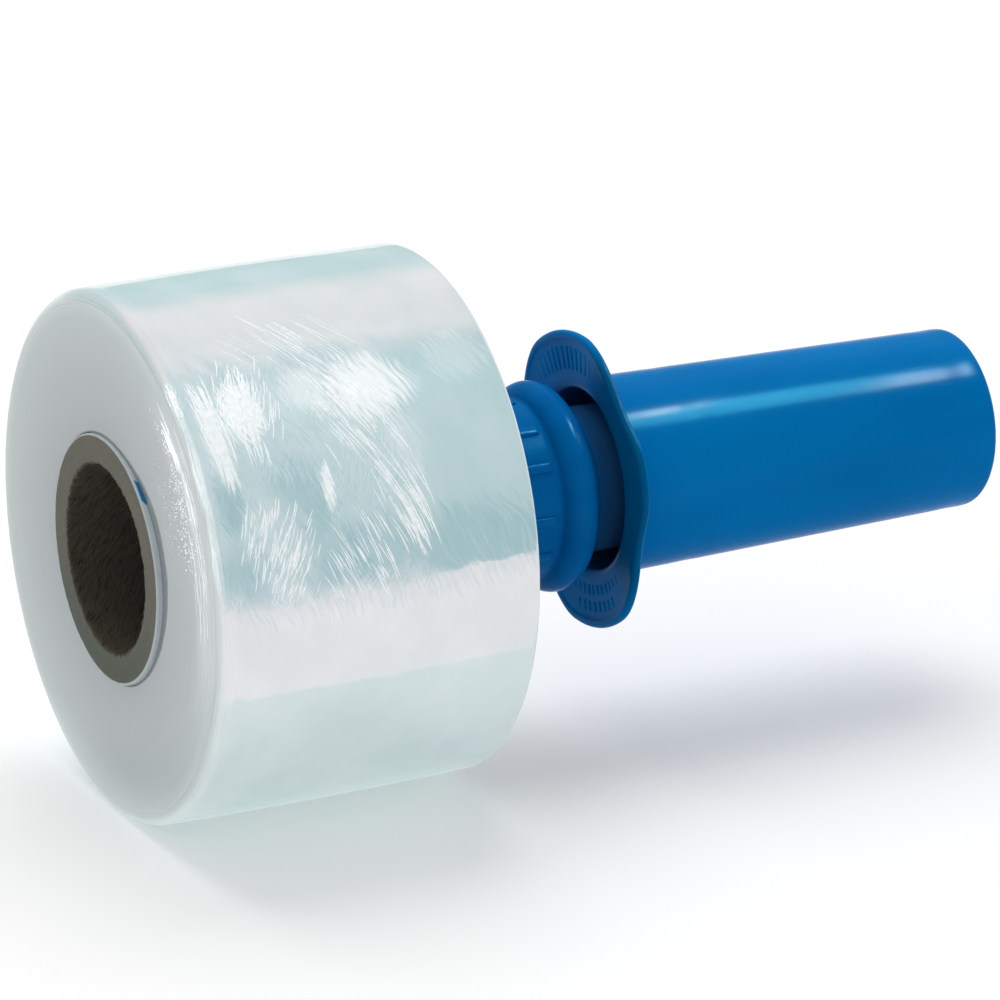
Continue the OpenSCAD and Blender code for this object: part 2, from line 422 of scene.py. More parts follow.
# Runs a tree on an empty holder and returns the result as a plain object.
def grow(name, tree, **values):
    holder = newObject(name + "Holder", bpy.data.meshes.new(name + "Holder"))
    modifier = holder.modifiers.new("grow", "NODES")
    modifier.node_group = tree
    for label, value in values.items():
        setInput(modifier, label, value)
    holder.update_tag()
    graph = bpy.context.evaluated_depsgraph_get()
    mesh = bpy.data.meshes.new_from_object(holder.evaluated_get(graph), preserve_all_data_layers=False,
                                           depsgraph=graph)
    holder.modifiers.clear()
    bpy.data.objects.remove(holder)
    for polygon in mesh.polygons:
        polygon.use_smooth = True
    return newObject(name, mesh)


def randomIn(tree, seed, number):  # -1 to 1, mostly near the middle
    values = []
    for half in range(2):
        node = addNode(tree, "FunctionNodeRandomValue", data_type="FLOAT")
        feed(tree, plus(tree, seed, float(10 * number + half)), node.inputs["Seed"])
        values.append(node.outputs[1])
    return minus(tree, plus(tree, *values), 1.0)


def inMetres(tree, vector):
    node = addNode(tree, "ShaderNodeVectorMath", operation="SCALE")
    feed(tree, vector, node.inputs[0])
    node.inputs["Scale"].default_value = mm
    return node.outputs[0]


def rolledPlace(tree, station, radius, turn):  # the same place as onRoll gives, turn in radians
    y = times(tree, times(tree, radius, calc(tree, "COSINE", turn)), -1.0)
    z = plus(tree, times(tree, radius, calc(tree, "SINE", turn)), axisPlace["height"])
    return inMetres(tree, joined(tree, minus(tree, station, axisPlace["middle"]), y, z))


# Puts the template on every point and makes the copies real
def placeCopies(tree, given, points, rotation, scale=None):
    source = addNode(tree, "GeometryNodeObjectInfo", transform_space="ORIGINAL")
    feed(tree, given["Template"], source.inputs["Object"])
    place = addNode(tree, "GeometryNodeInstanceOnPoints")
    feed(tree, points.outputs[0], place.inputs["Points"])
    feed(tree, source.outputs["Geometry"], place.inputs["Instance"])
    feed(tree, rotation, place.inputs["Rotation"])
    if scale is not None:
        feed(tree, scale, place.inputs["Scale"])
    real = addNode(tree, "GeometryNodeRealizeInstances")
    feed(tree, place.outputs[0], real.inputs[0])
    return real.outputs[0]


def giveFinish(tree, given, geometry, out):
    finish = addNode(tree, "GeometryNodeSetMaterial")
    feed(tree, geometry, finish.inputs["Geometry"])
    feed(tree, given["Finish"], finish.inputs["Material"])
    feed(tree, finish.outputs[0], out["Geometry"])


# Repeats a template round the roll's axis. The template lies at turn 0, and step is in degrees.
def makeRoundAxis():
    tree, given, out = newGroup("roundAxis", {
        "Template": "Object", "Count": 12, "First": 0.0, "Step": 30.0, "Jitter": 0.0, "Seed": 1,
        "Finish": "Material"}, {"Geometry": "Geometry"}, "GeometryNodeTree")
    points = addNode(tree, "GeometryNodePoints")
    feed(tree, given["Count"], points.inputs["Count"])
    points.inputs["Position"].default_value = (0, 0, axisPlace["height"] * mm)
    index = addNode(tree, "GeometryNodeInputIndex").outputs[0]
    chance = addNode(tree, "FunctionNodeRandomValue", data_type="FLOAT")
    feed(tree, given["Seed"], chance.inputs["Seed"])
    degrees = plus(tree, given["First"], times(tree, index, given["Step"]))
    degrees = plus(tree, degrees, times(tree, chance.outputs[1], given["Jitter"]))
    turn = joined(tree, times(tree, calc(tree, "RADIANS", degrees), -1.0))
    giveFinish(tree, given, placeCopies(tree, given, points, turn), out)
    return tree


# Film

# How strongly the film is creased at a place, 0 to 1
def creasedAt(turn, station):
    lowTurn, highTurn = filmLook["creasedTurn"]
    lowStation, highStation = filmLook["creasedStation"]
    wander = 5 * grain(turn * 0.05, station * 0.07, 2.5)
    front = smooth(lowTurn - 4, lowTurn + 8, turn + wander) * (1 - smooth(highTurn - 12, highTurn + 6, turn + wander))
    begins, full, fades, ends = filmLook["backCreased"]
    back = filmLook["backShare"] * smooth(begins, full, turn + wander) * (1 - smooth(fades, ends, turn + wander))
    along = smooth(lowStation, lowStation + 6, station)
    along *= 1 - smooth(highStation - 14, highStation + 4, station + wander)
    return max(front, back) * along


# How deep the first turns lie behind the rim: least at the top, less at the side that lies low
def dishShare(turn):
    fromLow = (turn + 220) % 360 - 180  # degrees from turn -40, where the side lies low
    return 1 - 0.8 * hump(turn, 98, 52) - 0.45 * hump(fromLow, 0, 48)


def filmOutline():
    look = filmLook
    rim, farRim, width = look["rimNear"], look["rimFar"], look["width"]
    outline = []
    for i in range(look["faceRows"] + 1):
        t = i / look["faceRows"]
        outline.append((look["dish"] * (1 - t) ** 2, look["bore"] + (look["radius"] - rim - look["bore"]) * t, "face"))
    for i in range(1, 11):
        t = math.radians(9 * i)
        outline.append((rim * (1 - math.cos(t)), look["radius"] - rim + rim * math.sin(t), "rim"))
    for i in range(1, look["sideRows"] + 1):
        t = i / look["sideRows"]
        bulge = look["crown"] * math.sin(math.pi * t)
        outline.append((rim + (width - rim - farRim) * t, look["radius"] + bulge, "side"))
    for i in range(1, 6):
        t = math.radians(18 * i)
        outline.append((width - farRim + farRim * math.sin(t), look["radius"] - farRim + farRim * math.cos(t),
                        "farRim"))
    for i in range(1, 13):
        outline.append((width, look["radius"] - farRim - (look["radius"] - farRim - look["bore"]) * i / 12, "farFace"))
    for i in range(1, 4):
        outline.append((width - (width - look["dish"]) * i / 4, look["bore"], "bore"))
    return outline


def makeFilmMesh():
    around = filmLook["around"]
    rings = []
    for row, (station, radius, zone) in enumerate(filmOutline()):
        ring = []
        for k in range(around):
            turn = -90 + 360 * k / around
            t = math.radians(turn)
            cx, cy = math.cos(t), math.sin(t)
            s, r = station, radius
            if zone == "face":
                s *= dishShare(turn)
                s += 0.03 * grain(radius * 1.7, cx * 0.8, cy * 0.8) + 0.02 * grain(radius * 4.3, cx * 3, cy * 3)
                s = max(s, 0.0)
            elif zone == "rim":
                r += 0.05 * grain(row * 1.9, cx * 5, cy * 5) - 0.03
                s += 0.05 * abs(grain(row * 2.3, cx * 7, cy * 7))
            elif zone == "side":
                soft = 0.05 * grain(cx * 4, cy * 4, s * 0.05) + 0.02 * grain(cx * 15, cy * 15, s * 0.2)
                arc = t * filmLook["radius"]
                folded = creasedAt(turn, s)
                if folded > 0:
                    along, across = arc * 0.91 - s * 0.41, arc * 0.41 + s * 0.91
                    fold = grain(along * 0.09, across * 0.42, 1.0) + 0.5 * grain(along * 0.2, across * 0.9, 5.0)
                    soft += 0.16 * folded * (fold - 0.1)
                r = min(r - 0.05 + soft, filmLook["largest"])
            elif zone == "farFace":
                s -= 0.08 * abs(grain(radius * 2.7, cx * 0.8, cy * 0.8))
            x, y, z = onRoll(s, r, turn)
            ring.append((x, y, max(z, 0.0)))
        rings.append(ring)
    return ringMesh("filmRoll", rings, loop=True)


# One crease for the crease fields: a thin tapered ridge with a slight bow, one long and one wide
def makeCreaseTemplate():
    steps = 4
    section = ((-0.5, -0.6), (-0.38, 0.2), (-0.1, 0.95), (0.14, 0.95), (0.42, 0.2), (0.5, -0.6), (0.0, -1.0))
    sides = len(section)
    shell = bmesh.new()
    rows = []
    for i in range(steps):
        t = (i + 1) / (steps + 1)
        y, x = t - 0.5, 0.6 * math.sin(math.pi * t) - 0.3
        w = math.sin(math.pi * t) ** 0.7
        rows.append([shell.verts.new((x + aside * w, y, max(rise * w, rise))) for aside, rise in section])
    tips = [shell.verts.new((-0.3, -0.5, -0.6)), shell.verts.new((-0.3, 0.5, -0.6))]
    for lower, upper in zip(rows, rows[1:]):
        for k in range(sides):
            shell.faces.new((lower[k], lower[(k + 1) % sides], upper[(k + 1) % sides], upper[k]))
    for tip, row in ((tips[0], rows[0]), (tips[1], rows[-1])):
        for k in range(sides):
            shell.faces.new((tip, row[k], row[(k + 1) % sides]))
    return newObject("creaseTemplate", finishMesh("creaseTemplate", shell))


# Strews creases over a patch of the unrolled film, then rolls the patch round the axis.
# In the flat patch X is the station, Y the length round the roll and Z the height, all in millimetres.
def makeCreaseField():
    tree, given, out = newGroup("creaseField", {
        "Template": "Object", "Count": 50, "Turn": 40.0, "Station": 30.0, "TurnSpread": 10.0, "StationSpread": 10.0,
        "Tilt": 20.0, "Fan": 0.0, "Length": 8.0, "Width": 0.4, "Height": 0.1, "Seed": 1, "Finish": "Material"},
        {"Geometry": "Geometry"}, "GeometryNodeTree")
    chance = [randomIn(tree, given["Seed"], number) for number in range(1, 6)]
    points = addNode(tree, "GeometryNodePoints")
    feed(tree, given["Count"], points.inputs["Count"])
    perDegree = filmLook["radius"] * math.pi / 180
    aside = times(tree, chance[0], given["StationSpread"])
    upward = times(tree, chance[1], given["TurnSpread"])
    feed(tree, joined(tree, plus(tree, given["Station"], aside),
                      times(tree, plus(tree, given["Turn"], upward), perDegree)),
         points.inputs["Position"])
    lean = plus(tree, given["Tilt"], times(tree, chance[2], filmLook["tiltSpread"]))
    lean = plus(tree, lean, times(tree, aside, given["Fan"]))
    longer = calc(tree, "MULTIPLY_ADD", chance[3], filmLook["lengthSpread"], 1.0)
    big = calc(tree, "MULTIPLY_ADD", chance[4], filmLook["sizeSpread"], 1.0)
    size = joined(tree, times(tree, given["Width"], big), times(tree, given["Length"], longer),
                  times(tree, given["Height"], big))
    copies = placeCopies(tree, given, points, joined(tree, z=calc(tree, "RADIANS", lean)), size)
    station, arc, height = parted(tree, addNode(tree, "GeometryNodeInputPosition").outputs[0])
    angle = calc(tree, "DIVIDE", arc, filmLook["radius"])
    crowned = times(tree, calc(tree, "SINE", times(tree, station, math.pi / filmLook["width"])), filmLook["crown"])
    radius = plus(tree, plus(tree, height, crowned), filmLook["radius"] - filmLook["rooted"])
    radius = calc(tree, "MINIMUM", radius, filmLook["largest"])
    move = addNode(tree, "GeometryNodeSetPosition")
    feed(tree, copies, move.inputs["Geometry"])
    feed(tree, rolledPlace(tree, station, radius, angle), move.inputs["Position"])
    giveFinish(tree, given, move.outputs[0], out)
    return tree


# The crease turned to lie on the open end face: its length runs round the roll and its height points at -X
def makeFaceTemplate(crease):
    mesh = crease.data.copy()
    for vertex in mesh.vertices:
        across, along, rise = vertex.co
        vertex.co = (-rise, -across, along)
    return newObject("faceTemplate", mesh)


# Strews small strokes over the open end face, all in millimetres and degrees
def makeFaceField():
    tree, given, out = newGroup("faceField", {
        "Template": "Object", "Count": 50, "Turn": 40.0, "Radius": 44.0, "TurnSpread": 10.0, "RadiusSpread": 3.0,
        "Length": 8.0, "Width": 0.3, "Height": 0.1, "Seed": 1, "Finish": "Material"},
        {"Geometry": "Geometry"}, "GeometryNodeTree")
    chance = [randomIn(tree, given["Seed"], number) for number in range(1, 4)]
    points = addNode(tree, "GeometryNodePoints")
    feed(tree, given["Count"], points.inputs["Count"])
    turn = calc(tree, "RADIANS", calc(tree, "MULTIPLY_ADD", chance[0], given["TurnSpread"], given["Turn"]))
    radius = calc(tree, "MULTIPLY_ADD", chance[1], given["RadiusSpread"], given["Radius"])
    faceWidth = filmLook["radius"] - filmLook["rimNear"] - filmLook["bore"]
    inward = calc(tree, "MULTIPLY_ADD", radius, -1 / faceWidth, 1 + filmLook["bore"] / faceWidth, clamp=True)
    sunk = times(tree, times(tree, inward, inward), 0.9 * filmLook["dish"])
    feed(tree, rolledPlace(tree, sunk, radius, turn), points.inputs["Position"])
    big = times(tree, calc(tree, "MULTIPLY_ADD", chance[2], filmLook["faceSpread"], 1.0), mm)
    size = joined(tree, *[times(tree, given[label], big) for label in ("Height", "Width", "Length")])
    copies = placeCopies(tree, given, points, joined(tree, times(tree, turn, -1.0)), size)
    giveFinish(tree, given, copies, out)
    return tree


# Marks on the open end face: (count, turn, radius, turn spread, radius spread, length, width, height)
faceFields = [
    (54, 46, 46.4, 6.5, 1.3, 3.6, 0.30, 0.10),    # the bright strip of pulled turns
    (48, 27, 48.0, 32, 2.6, 6.5, 0.08, 0.035),    # fine pulled turns beside the rim
    (14, 8, 45.0, 20, 3.0, 8, 0.10, 0.03),
    (130, 37, 44.0, 25, 2.0, 0.28, 0.24, 0.11),   # air bubbles between the turns
    (110, 28, 41.0, 20, 3.2, 0.27, 0.23, 0.11),
    (110, 38, 35.0, 22, 4.5, 0.22, 0.19, 0.08),
]

# Where the creases lie: (count, turn, station, turn spread, station spread, tilt, fan, length, width, height)
creaseFields = [
    (60, 43, 6.5, 10, 2.6, 4, 0.0, 14, 0.30, 0.07),  # long strokes beside the open rim
    (90, 46, 13, 10, 5, 2, 0.0, 6, 0.22, 0.06),
    (110, 50, 15, 9, 7, -16, 0.0, 4.5, 0.24, 0.06),
    (160, 46, 36, 12, 11, 27, 0.6, 6.5, 0.22, 0.06),   # the middle patch
    (44, 30, 41, 19, 6, 22, 0.0, 11, 0.24, 0.07),    # long strokes that run down from it
    (20, 20, 43, 13, 5, 20, 0.0, 10, 0.26, 0.07),
    (12, 28, 26, 6, 1.4, 14, 0.0, 5, 0.30, 0.08),    # a short bright stroke and its neighbours
    (120, 17, 14, 12, 8, -22, -0.8, 4.4, 0.22, 0.06),   # feathered patch low by the rim
    (50, 14, 31, 11, 9, 24, 0.0, 7, 0.22, 0.05),
    (46, 62, 28, 8, 16, 34, 0.0, 9, 0.20, 0.045),     # faint ones at the top
    (120, 195, 20, 26, 14, 14, 0.5, 8, 0.26, 0.06),   # the far side
    (60, 178, 40, 14, 10, -20, 0.4, 6, 0.26, 0.06),
]


# Where the creases lie so close that the film looks white, with a painted glare highlight there: (turn, station, turn
# spread, station spread, strength)
hazeAndGlarePatches = [
    (47, 12.5, 8, 5, 0.9), (42, 6, 13, 3, 0.5), (49, 40, 8.5, 10, 0.9), (50, 27, 6, 6, 0.4), (53, 60, 7, 8, 0.25),
    (36, 44, 9, 5, 0.2), (17, 14, 13, 9, 0.25), (28, 26, 5.5, 1.3, 0.7), (195, 20, 20, 12, 0.5),
]

# Where the film lies clear and shows its depth, in the same terms; the wide band round turn 12 is painted shade low on
# the side
clearAndShadePatches = [(12, 30, 11, 60, 0.42), (29, 5.5, 9, 3.5, 0.6), (13, 9, 7, 5, 0.65), (24, 20, 14, 8, 0.45),
                (12, 28, 7, 9, 0.6)]


# How far a place lies inside any of the patches; the value given feathers their edges
def patchMask(tree, places, turn, station, feather):
    mask = 0.0
    for middleTurn, middleStation, turnSpread, stationSpread, strength in places:
        aside = calc(tree, "DIVIDE", minus(tree, station, middleStation), stationSpread)
        above = calc(tree, "DIVIDE", minus(tree, turn, middleTurn), turnSpread)
        apart = calc(tree, "MULTIPLY_ADD", aside, aside, times(tree, above, above))
        inside = fade(tree, plus(tree, apart, feather), 1.1, 0.05, to=(0.0, strength))
        mask = calc(tree, "MAXIMUM", mask, inside)
    return mask


def makeFilmMaterial(rollPlace, streaks):
    look = filmLook
    material, tree = newTree("woundFilm", look["sideColor"])
    turn, station, radius, flat, lift = useGroup(tree, rollPlace)
    onSide = fade(tree, radius, 51.5, 53.2)
    wander = calc(tree, "MULTIPLY_ADD", noiseAt(tree, flat, 0.06, detail=2.0), 16.0, -8.0)
    wanderTurn = plus(tree, turn, wander)
    lowTurn, highTurn = look["creasedTurn"]
    front = times(tree, fade(tree, wanderTurn, lowTurn - 3, lowTurn + 6),
                  fade(tree, wanderTurn, highTurn - 12, highTurn + 4, to=(1.0, 0.0)))
    begins, full, fades, ends = look["backCreased"]
    back = times(tree, fade(tree, wanderTurn, begins, full),
                 fade(tree, wanderTurn, fades, ends, to=(look["backShare"], 0.0)))
    creased = times(tree, calc(tree, "MAXIMUM", front, back),
                    fade(tree, plus(tree, station, wander), 38, 56, to=(1.0, 0.0)))
    creased = times(tree, creased, onSide)
    slant = useGroup(tree, streaks, Vector=flat, Tilt=24.0, Length=7.0, Width=0.7, Waver=0.5)
    counter = useGroup(tree, streaks, Vector=flat, Tilt=-18.0, Length=5.0, Width=0.6, Waver=0.5)
    wound = useGroup(tree, streaks, Vector=flat, Tilt=0.0, Length=40.0, Width=0.25, Waver=0.02)
    patch = noiseAt(tree, flat, 0.09, detail=1.0)
    crest = plus(tree, times(tree, slant["Crest"], fade(tree, patch, 0.42, 0.6)),
                 times(tree, counter["Crest"], fade(tree, patch, 0.56, 0.40)), clamp=True)
    crest = times(tree, crest, creased)
    rimBand = fade(tree, calc(tree, "ABSOLUTE", minus(tree, plus(tree, station, radius),
                                                   look["radius"])), 1.0, 6.0, to=(1.0, 0.0))
    height = times(tree, crest, 0.2)
    height = plus(tree, height, times(tree, wound["Height"], calc(tree, "MULTIPLY_ADD", rimBand, 0.8, 0.05)))
    height = plus(tree, height, times(tree, noiseAt(tree, flat, 0.5, detail=3.0), 0.18))
    # the end face greys towards the core where the film lies deep, and lightens towards the rim with painted light
    # coming through the turns
    faceDepthAndLightTone = ramp(tree, calc(tree, "MULTIPLY_ADD", radius, 1 / 29.0, -25.0 / 29.0), look["faceDepthAndLightColors"])
    mottled = blendColor(tree, fade(tree, noiseAt(tree, flat, 0.05, detail=3.0), 0.35, 0.7), faceDepthAndLightTone,
                         look["milkyColor"])
    mottled = blendColor(tree, times(tree, onSide, look["milkyShare"]), faceDepthAndLightTone, mottled)
    color = blendColor(tree, times(tree, crest, 0.55), mottled, look["creaseColor"])
    feather = calc(tree, "MULTIPLY_ADD", slant["Height"], 2.4, -1.2)
    # deeper teal where the film lies clear, and a painted shade band low on the side
    clear = times(tree, patchMask(tree, clearAndShadePatches, turn, station, feather), onSide)
    color = blendColor(tree, clear, color, look["clearAndShadeColor"])
    # white where creases crowd, with a painted glare highlight on it
    hazeAndGlare = times(tree, patchMask(tree, hazeAndGlarePatches, turn, station, feather), onSide)
    color = blendColor(tree, hazeAndGlare, color, look["hazeAndGlareColor"])
    fromPulled = calc(tree, "ABSOLUTE", minus(tree, turn, look["pulledTurn"]))
    pulled = times(tree, fade(tree, radius, 40.0, 47.0),
                   fade(tree, fromPulled, 24.0, 50.0, to=(look["pulledShare"], 0.0)))
    pulled = times(tree, pulled, minus(tree, 1.0, onSide))
    edgeLine = calc(tree, "MAXIMUM", times(tree, rimBand, look["edgeShare"]), pulled)
    color = blendColor(tree, times(tree, wound["Crest"], edgeLine), color, look["edgeColor"])
    rough = calc(tree, "MULTIPLY_ADD", noiseAt(tree, flat, 0.3, detail=2.0), 0.06, 0.03)
    rough = plus(tree, rough, times(tree, creased, 0.14))
    shader = principled(tree, color, rough, height, look["bumpDistance"], **{
        "IOR": 2.0, "Specular IOR Level": 1.0, "Emission Strength": 1.0})
    # painted light: a glow that stands in for light coming through the clear turns, low on the roll and on its side
    # below the top
    through = times(tree, fade(tree, lift, 20.0, 2.0), times(tree, look["paintedThroughLow"], fade(tree, radius, 40, 49)))
    through = plus(tree, through, times(tree, onSide, fade(tree, lift, 105.0, 92.0, to=(0.0, look["paintedThroughTop"]))))
    glow = blendColor(tree, through, (0.0, 0.0, 0.0), look["paintedThroughColor"])
    # painted glow on the haze patches, standing in for glare
    glow = blendColor(tree, times(tree, hazeAndGlare, look["paintedGlareGlowShare"]), glow, look["paintedGlareGlow"])
    feed(tree, glow, shader.inputs["Emission Color"])
    return material


# Folded film: white, with duller stretches; the strength is a painted glow that makes the creases and bubbles shine
# white like glints
def makeCreaseMaterial(name, rollPlace, strength):
    material, tree = newTree(name, filmLook["creaseColor"])
    flat = useGroup(tree, rollPlace)["Flat"]
    color = blendColor(tree, fade(tree, noiseAt(tree, flat, 0.9, detail=1.0), 0.36, 0.58),
                       filmLook["dullCreaseColor"], filmLook["creaseColor"])
    rough = calc(tree, "MULTIPLY_ADD", noiseAt(tree, flat, 1.5), 0.12, 0.22)
    principled(tree, color, rough, noiseAt(tree, flat, 2.0), 0.00004, **{
        "Emission Color": (1, 1, 1, 1), "Emission Strength": strength})
    return material


rollPlace, streaks, moulded = makeRollPlace(), makeStreaks(), makeMoulded()
filmMaterial = makeFilmMaterial(rollPlace, streaks)
creaseMaterial = makeCreaseMaterial("filmCrease", rollPlace, filmLook["creasePaintedGlow"])
bubbleMaterial = makeCreaseMaterial("filmBubble", rollPlace, filmLook["bubblePaintedGlow"])
filmRoll = newObject("filmRoll", makeFilmMesh(), filmMaterial)
creaseTemplate = makeCreaseTemplate()
faceTemplate = makeFaceTemplate(creaseTemplate)


# Grows one object for each row of a table whose columns the labels name; the first is a whole number
def growRows(name, tree, template, material, labels, table):
    grown = []
    for number, row in enumerate(table):
        values = dict(zip(labels, [int(row[0])] + [float(v) for v in row[1:]]))
        grown.append(grow("%s%d" % (name, number), tree, Template=template, Seed=100 * number + 7,
                          Finish=material, **values))
    return grown


creases = growRows("creases", makeCreaseField(), creaseTemplate, creaseMaterial, (
    "Count", "Turn", "Station", "TurnSpread", "StationSpread", "Tilt", "Fan", "Length", "Width", "Height"),
    creaseFields)
creases += growRows("faceMarks", makeFaceField(), faceTemplate, bubbleMaterial, (
    "Count", "Turn", "Radius", "TurnSpread", "RadiusSpread", "Length", "Width", "Height"), faceFields)
joinInto(filmRoll, creases)
bpy.data.objects.remove(creaseTemplate)
bpy.data.objects.remove(faceTemplate)
print("film wound:", len(filmRoll.data.polygons), "faces")

# Core

coreLook = {
    "outer": 25.0, "inner": 19.0, "seat": 19.1, "near": -0.3, "far": 75.9, "nose": 24.2, "around": 256,
    "ragged": 0.62, "flare": 0.4, "boardColor": (0.235, 0.205, 0.150), "plyColor": (0.54, 0.60, 0.62),
    "endColors": ((0.142, 0.143, 0.116), (0.172, 0.169, 0.137)), "blotchColor": (0.20, 0.18, 0.135),
    "speckColor": (0.09, 0.08, 0.06), "lowColor": (0.080, 0.108, 0.088), "boreShadeColor": (0.040, 0.039, 0.028),
    "streakColor": (0.108, 0.094, 0.062), "brownColor": (0.085, 0.070, 0.042), "darkColor": (0.025, 0.023, 0.018),
}


def makeCoreMesh():
    look, rings = coreLook, []
    outline = [(look["near"] + 0.35, look["inner"]), (look["near"] + 0.12, look["inner"] + 0.12)]
    outline += [(look["near"], look["inner"] + 0.35 + 5.3 * i / 9) for i in range(10)]
    outline += [(look["near"] + 0.06, look["outer"] - 0.1), (look["near"] + 0.3, look["outer"])]
    outline += [(look["near"] + 0.3 + (look["far"] - look["near"] - 0.6) * i / 12, look["outer"]) for i in range(1, 13)]
    outline += [(look["far"], look["outer"] - 0.3), (look["far"], 22.5), (look["far"], look["seat"] + 0.2)]
    outline += [(look["far"] - 0.3 - 50 * i / 6, look["seat"]) for i in range(7)]
    outline += [(look["nose"] - 0.5 - (look["nose"] - 1.5) * i / 14, look["inner"]) for i in range(15)]
    for station, radius in outline:
        ring = []
        for k in range(look["around"]):
            turn = -90 + 360 * k / look["around"]
            cx, cy = math.cos(math.radians(turn)), math.sin(math.radians(turn))
            s, r = station, radius
            edge = hump(station, look["near"], 1.2)
            if radius > look["outer"] - 0.5 and station < 0.5:
                r += look["flare"] * hump(turn, -25, 60)
            inward = 1 - smooth(look["inner"] + 0.2, look["inner"] + 2.2, radius)
            torn = abs(grain(cx * 9, cy * 9, 3.0)) + 0.6 * grain(cx * 24, cy * 24, 9.0)
            torn += 0.3 * grain(cx * 60, cy * 60, 4.0)
            r -= look["ragged"] * edge * inward * max(torn, -0.2)
            if radius < look["outer"] - 0.05:
                s += edge * 0.10 * abs(grain(cx * 14, cy * 14, radius * 1.6))
                s += edge * inward * 0.25 * abs(grain(cx * 6, cy * 6, 20.0))
            if radius < look["seat"] + 0.05 and station < look["nose"]:
                r += 0.04 * grain(station * 0.8, cx * 7, cy * 7)
            ring.append(onRoll(max(s, look["near"]), r, turn))
        rings.append(ring)
    return ringMesh("coreTube", rings, loop=True)


def makeCoreMaterial(rollPlace, streaks):
    look = coreLook
    material, tree = newTree("greyBoard", look["boardColor"])
    radius, flat, lift = useGroup(tree, rollPlace)[2:5]
    wide = vectorCalc(tree, "MULTIPLY", flat, (0.4, 1.0, 1.0))
    fibres = useGroup(tree, streaks, Vector=wide, Tilt=35.0, Length=3.0, Width=0.5, Waver=0.6)
    inside = useGroup(tree, streaks, Vector=wide, Tilt=38.0, Length=8.0, Width=0.8, Waver=0.35)
    plies = noiseAt(tree, mapped(tree, flat, (0.012, 2.4, 1)), 1.0, detail=2.0, rough=0.6)
    endTone = blendColor(tree, fade(tree, plies, 0.36, 0.62), *look["endColors"])
    blotch = fade(tree, noiseAt(tree, flat, 0.5, detail=3.0), 0.40, 0.65)
    endTone = blendColor(tree, times(tree, blotch, 0.5), endTone, look["blotchColor"])
    speck = fade(tree, noiseAt(tree, flat, 2.2, detail=2.0), 0.56, 0.70)
    endTone = blendColor(tree, times(tree, speck, 0.5), endTone, look["speckColor"])
    endTone = blendColor(tree, fade(tree, lift, 60.0, 26.0, to=(0.0, 0.6)), endTone, look["lowColor"])
    # the bore is painted dark as shade, lighter and browner towards its bottom, with dark fibre streaks
    boreTone = blendColor(tree, times(tree, inside["Crest"], 0.8), look["boreShadeColor"], look["streakColor"])
    boreTone = blendColor(tree, fade(tree, lift, 62.0, 36.0, to=(0.0, 0.5)), boreTone, look["brownColor"])
    boreTone = blendColor(tree, fade(tree, fibres["Height"], 0.5, 0.75), boreTone, look["darkColor"])
    jagged = calc(tree, "MULTIPLY_ADD", noiseAt(tree, flat, 0.8, detail=4.0, rough=0.75), 2.2, -1.1)
    inBore = fade(tree, plus(tree, radius, jagged), 19.30, 19.46, to=(1.0, 0.0))
    color = blendColor(tree, inBore, endTone, boreTone)
    outerPly = fade(tree, radius, 24.55, 24.8)
    color = blendColor(tree, outerPly, color, look["plyColor"])
    height = plus(tree, times(tree, fibres["Height"], 0.4), times(tree, plies, 0.3))
    height = plus(tree, height, times(tree, inside["Crest"], 0.2))
    rough = calc(tree, "MULTIPLY_ADD", plies, 0.15, 0.78)
    principled(tree, color, rough, height, 0.00025, **{"Specular IOR Level": 0.25})
    return material


coreTube = newObject("coreTube", makeCoreMesh(), makeCoreMaterial(rollPlace, streaks))
print("core rolled")

# Start tape

tapeLook = {
    "radius": 25.13, "under": 24.98, "turn": 50.5, "slant": 1.6, "width": 5.0, "first": 0.1, "last": 8.1,
    "color": (0.02, 0.20, 0.50), "fibreColors": ((0.0, 0.10, 0.30), (0.0, 0.28, 0.52)), "patchColor": (0.0, 0.18, 0.42),
}


def makeTapeMesh():
    look = tapeLook
    across, alongRows = 12, 16
    shell = bmesh.new()
    layers = []
    for layer, base in enumerate((look["radius"], look["under"])):
        grid = []
        for i in range(alongRows + 1):
            station = look["first"] + (look["last"] - look["first"]) * i / alongRows
            middle = look["turn"] - math.degrees(look["slant"] * (station - look["first"]) / look["radius"])
            row = []
            for k in range(across + 1):
                t = k / across - 0.5
                edge = 0.5 * look["width"] + 0.12 * grain(station * 2.0, 3.0 + (t > 0), 1.0)
                crown = 0.0 if layer else -0.03 * (2 * abs(t)) ** 4
                row.append(shell.verts.new(onRoll(station, base + crown, middle + math.degrees(2 * edge * t / base))))
            grid.append(row)
        layers.append(grid)
    top, under = layers
    for grid in layers:
        for i in range(alongRows):
            for k in range(across):
                shell.faces.new((grid[i][k], grid[i][k + 1], grid[i + 1][k + 1], grid[i + 1][k]))
    for i in range(alongRows):
        for k in (0, across):
            shell.faces.new((top[i][k], top[i + 1][k], under[i + 1][k], under[i][k]))
    for k in range(across):
        for i in (0, alongRows):
            shell.faces.new((top[i][k], top[i][k + 1], under[i][k + 1], under[i][k]))
    return finishMesh("startTape", shell)


def makeTapeMaterial(rollPlace, streaks):
    material, tree = newTree("blueTape", tapeLook["color"])
    flat = useGroup(tree, rollPlace)["Flat"]
    fibre = useGroup(tree, streaks, Vector=flat, Tilt=60.0, Length=2.0, Width=0.3, Waver=0.3)
    color = blendColor(tree, fibre["Height"], *tapeLook["fibreColors"])
    color = blendColor(tree, fade(tree, noiseAt(tree, flat, 0.8), 0.45, 0.65), color, tapeLook["patchColor"])
    rough = calc(tree, "MULTIPLY_ADD", fibre["Height"], 0.2, 0.25)
    principled(tree, color, rough, fibre["Height"], 0.00003)
    return material


startTape = newObject("startTape", makeTapeMesh(), makeTapeMaterial(rollPlace, streaks))
print("start tape laid")

# Spindle

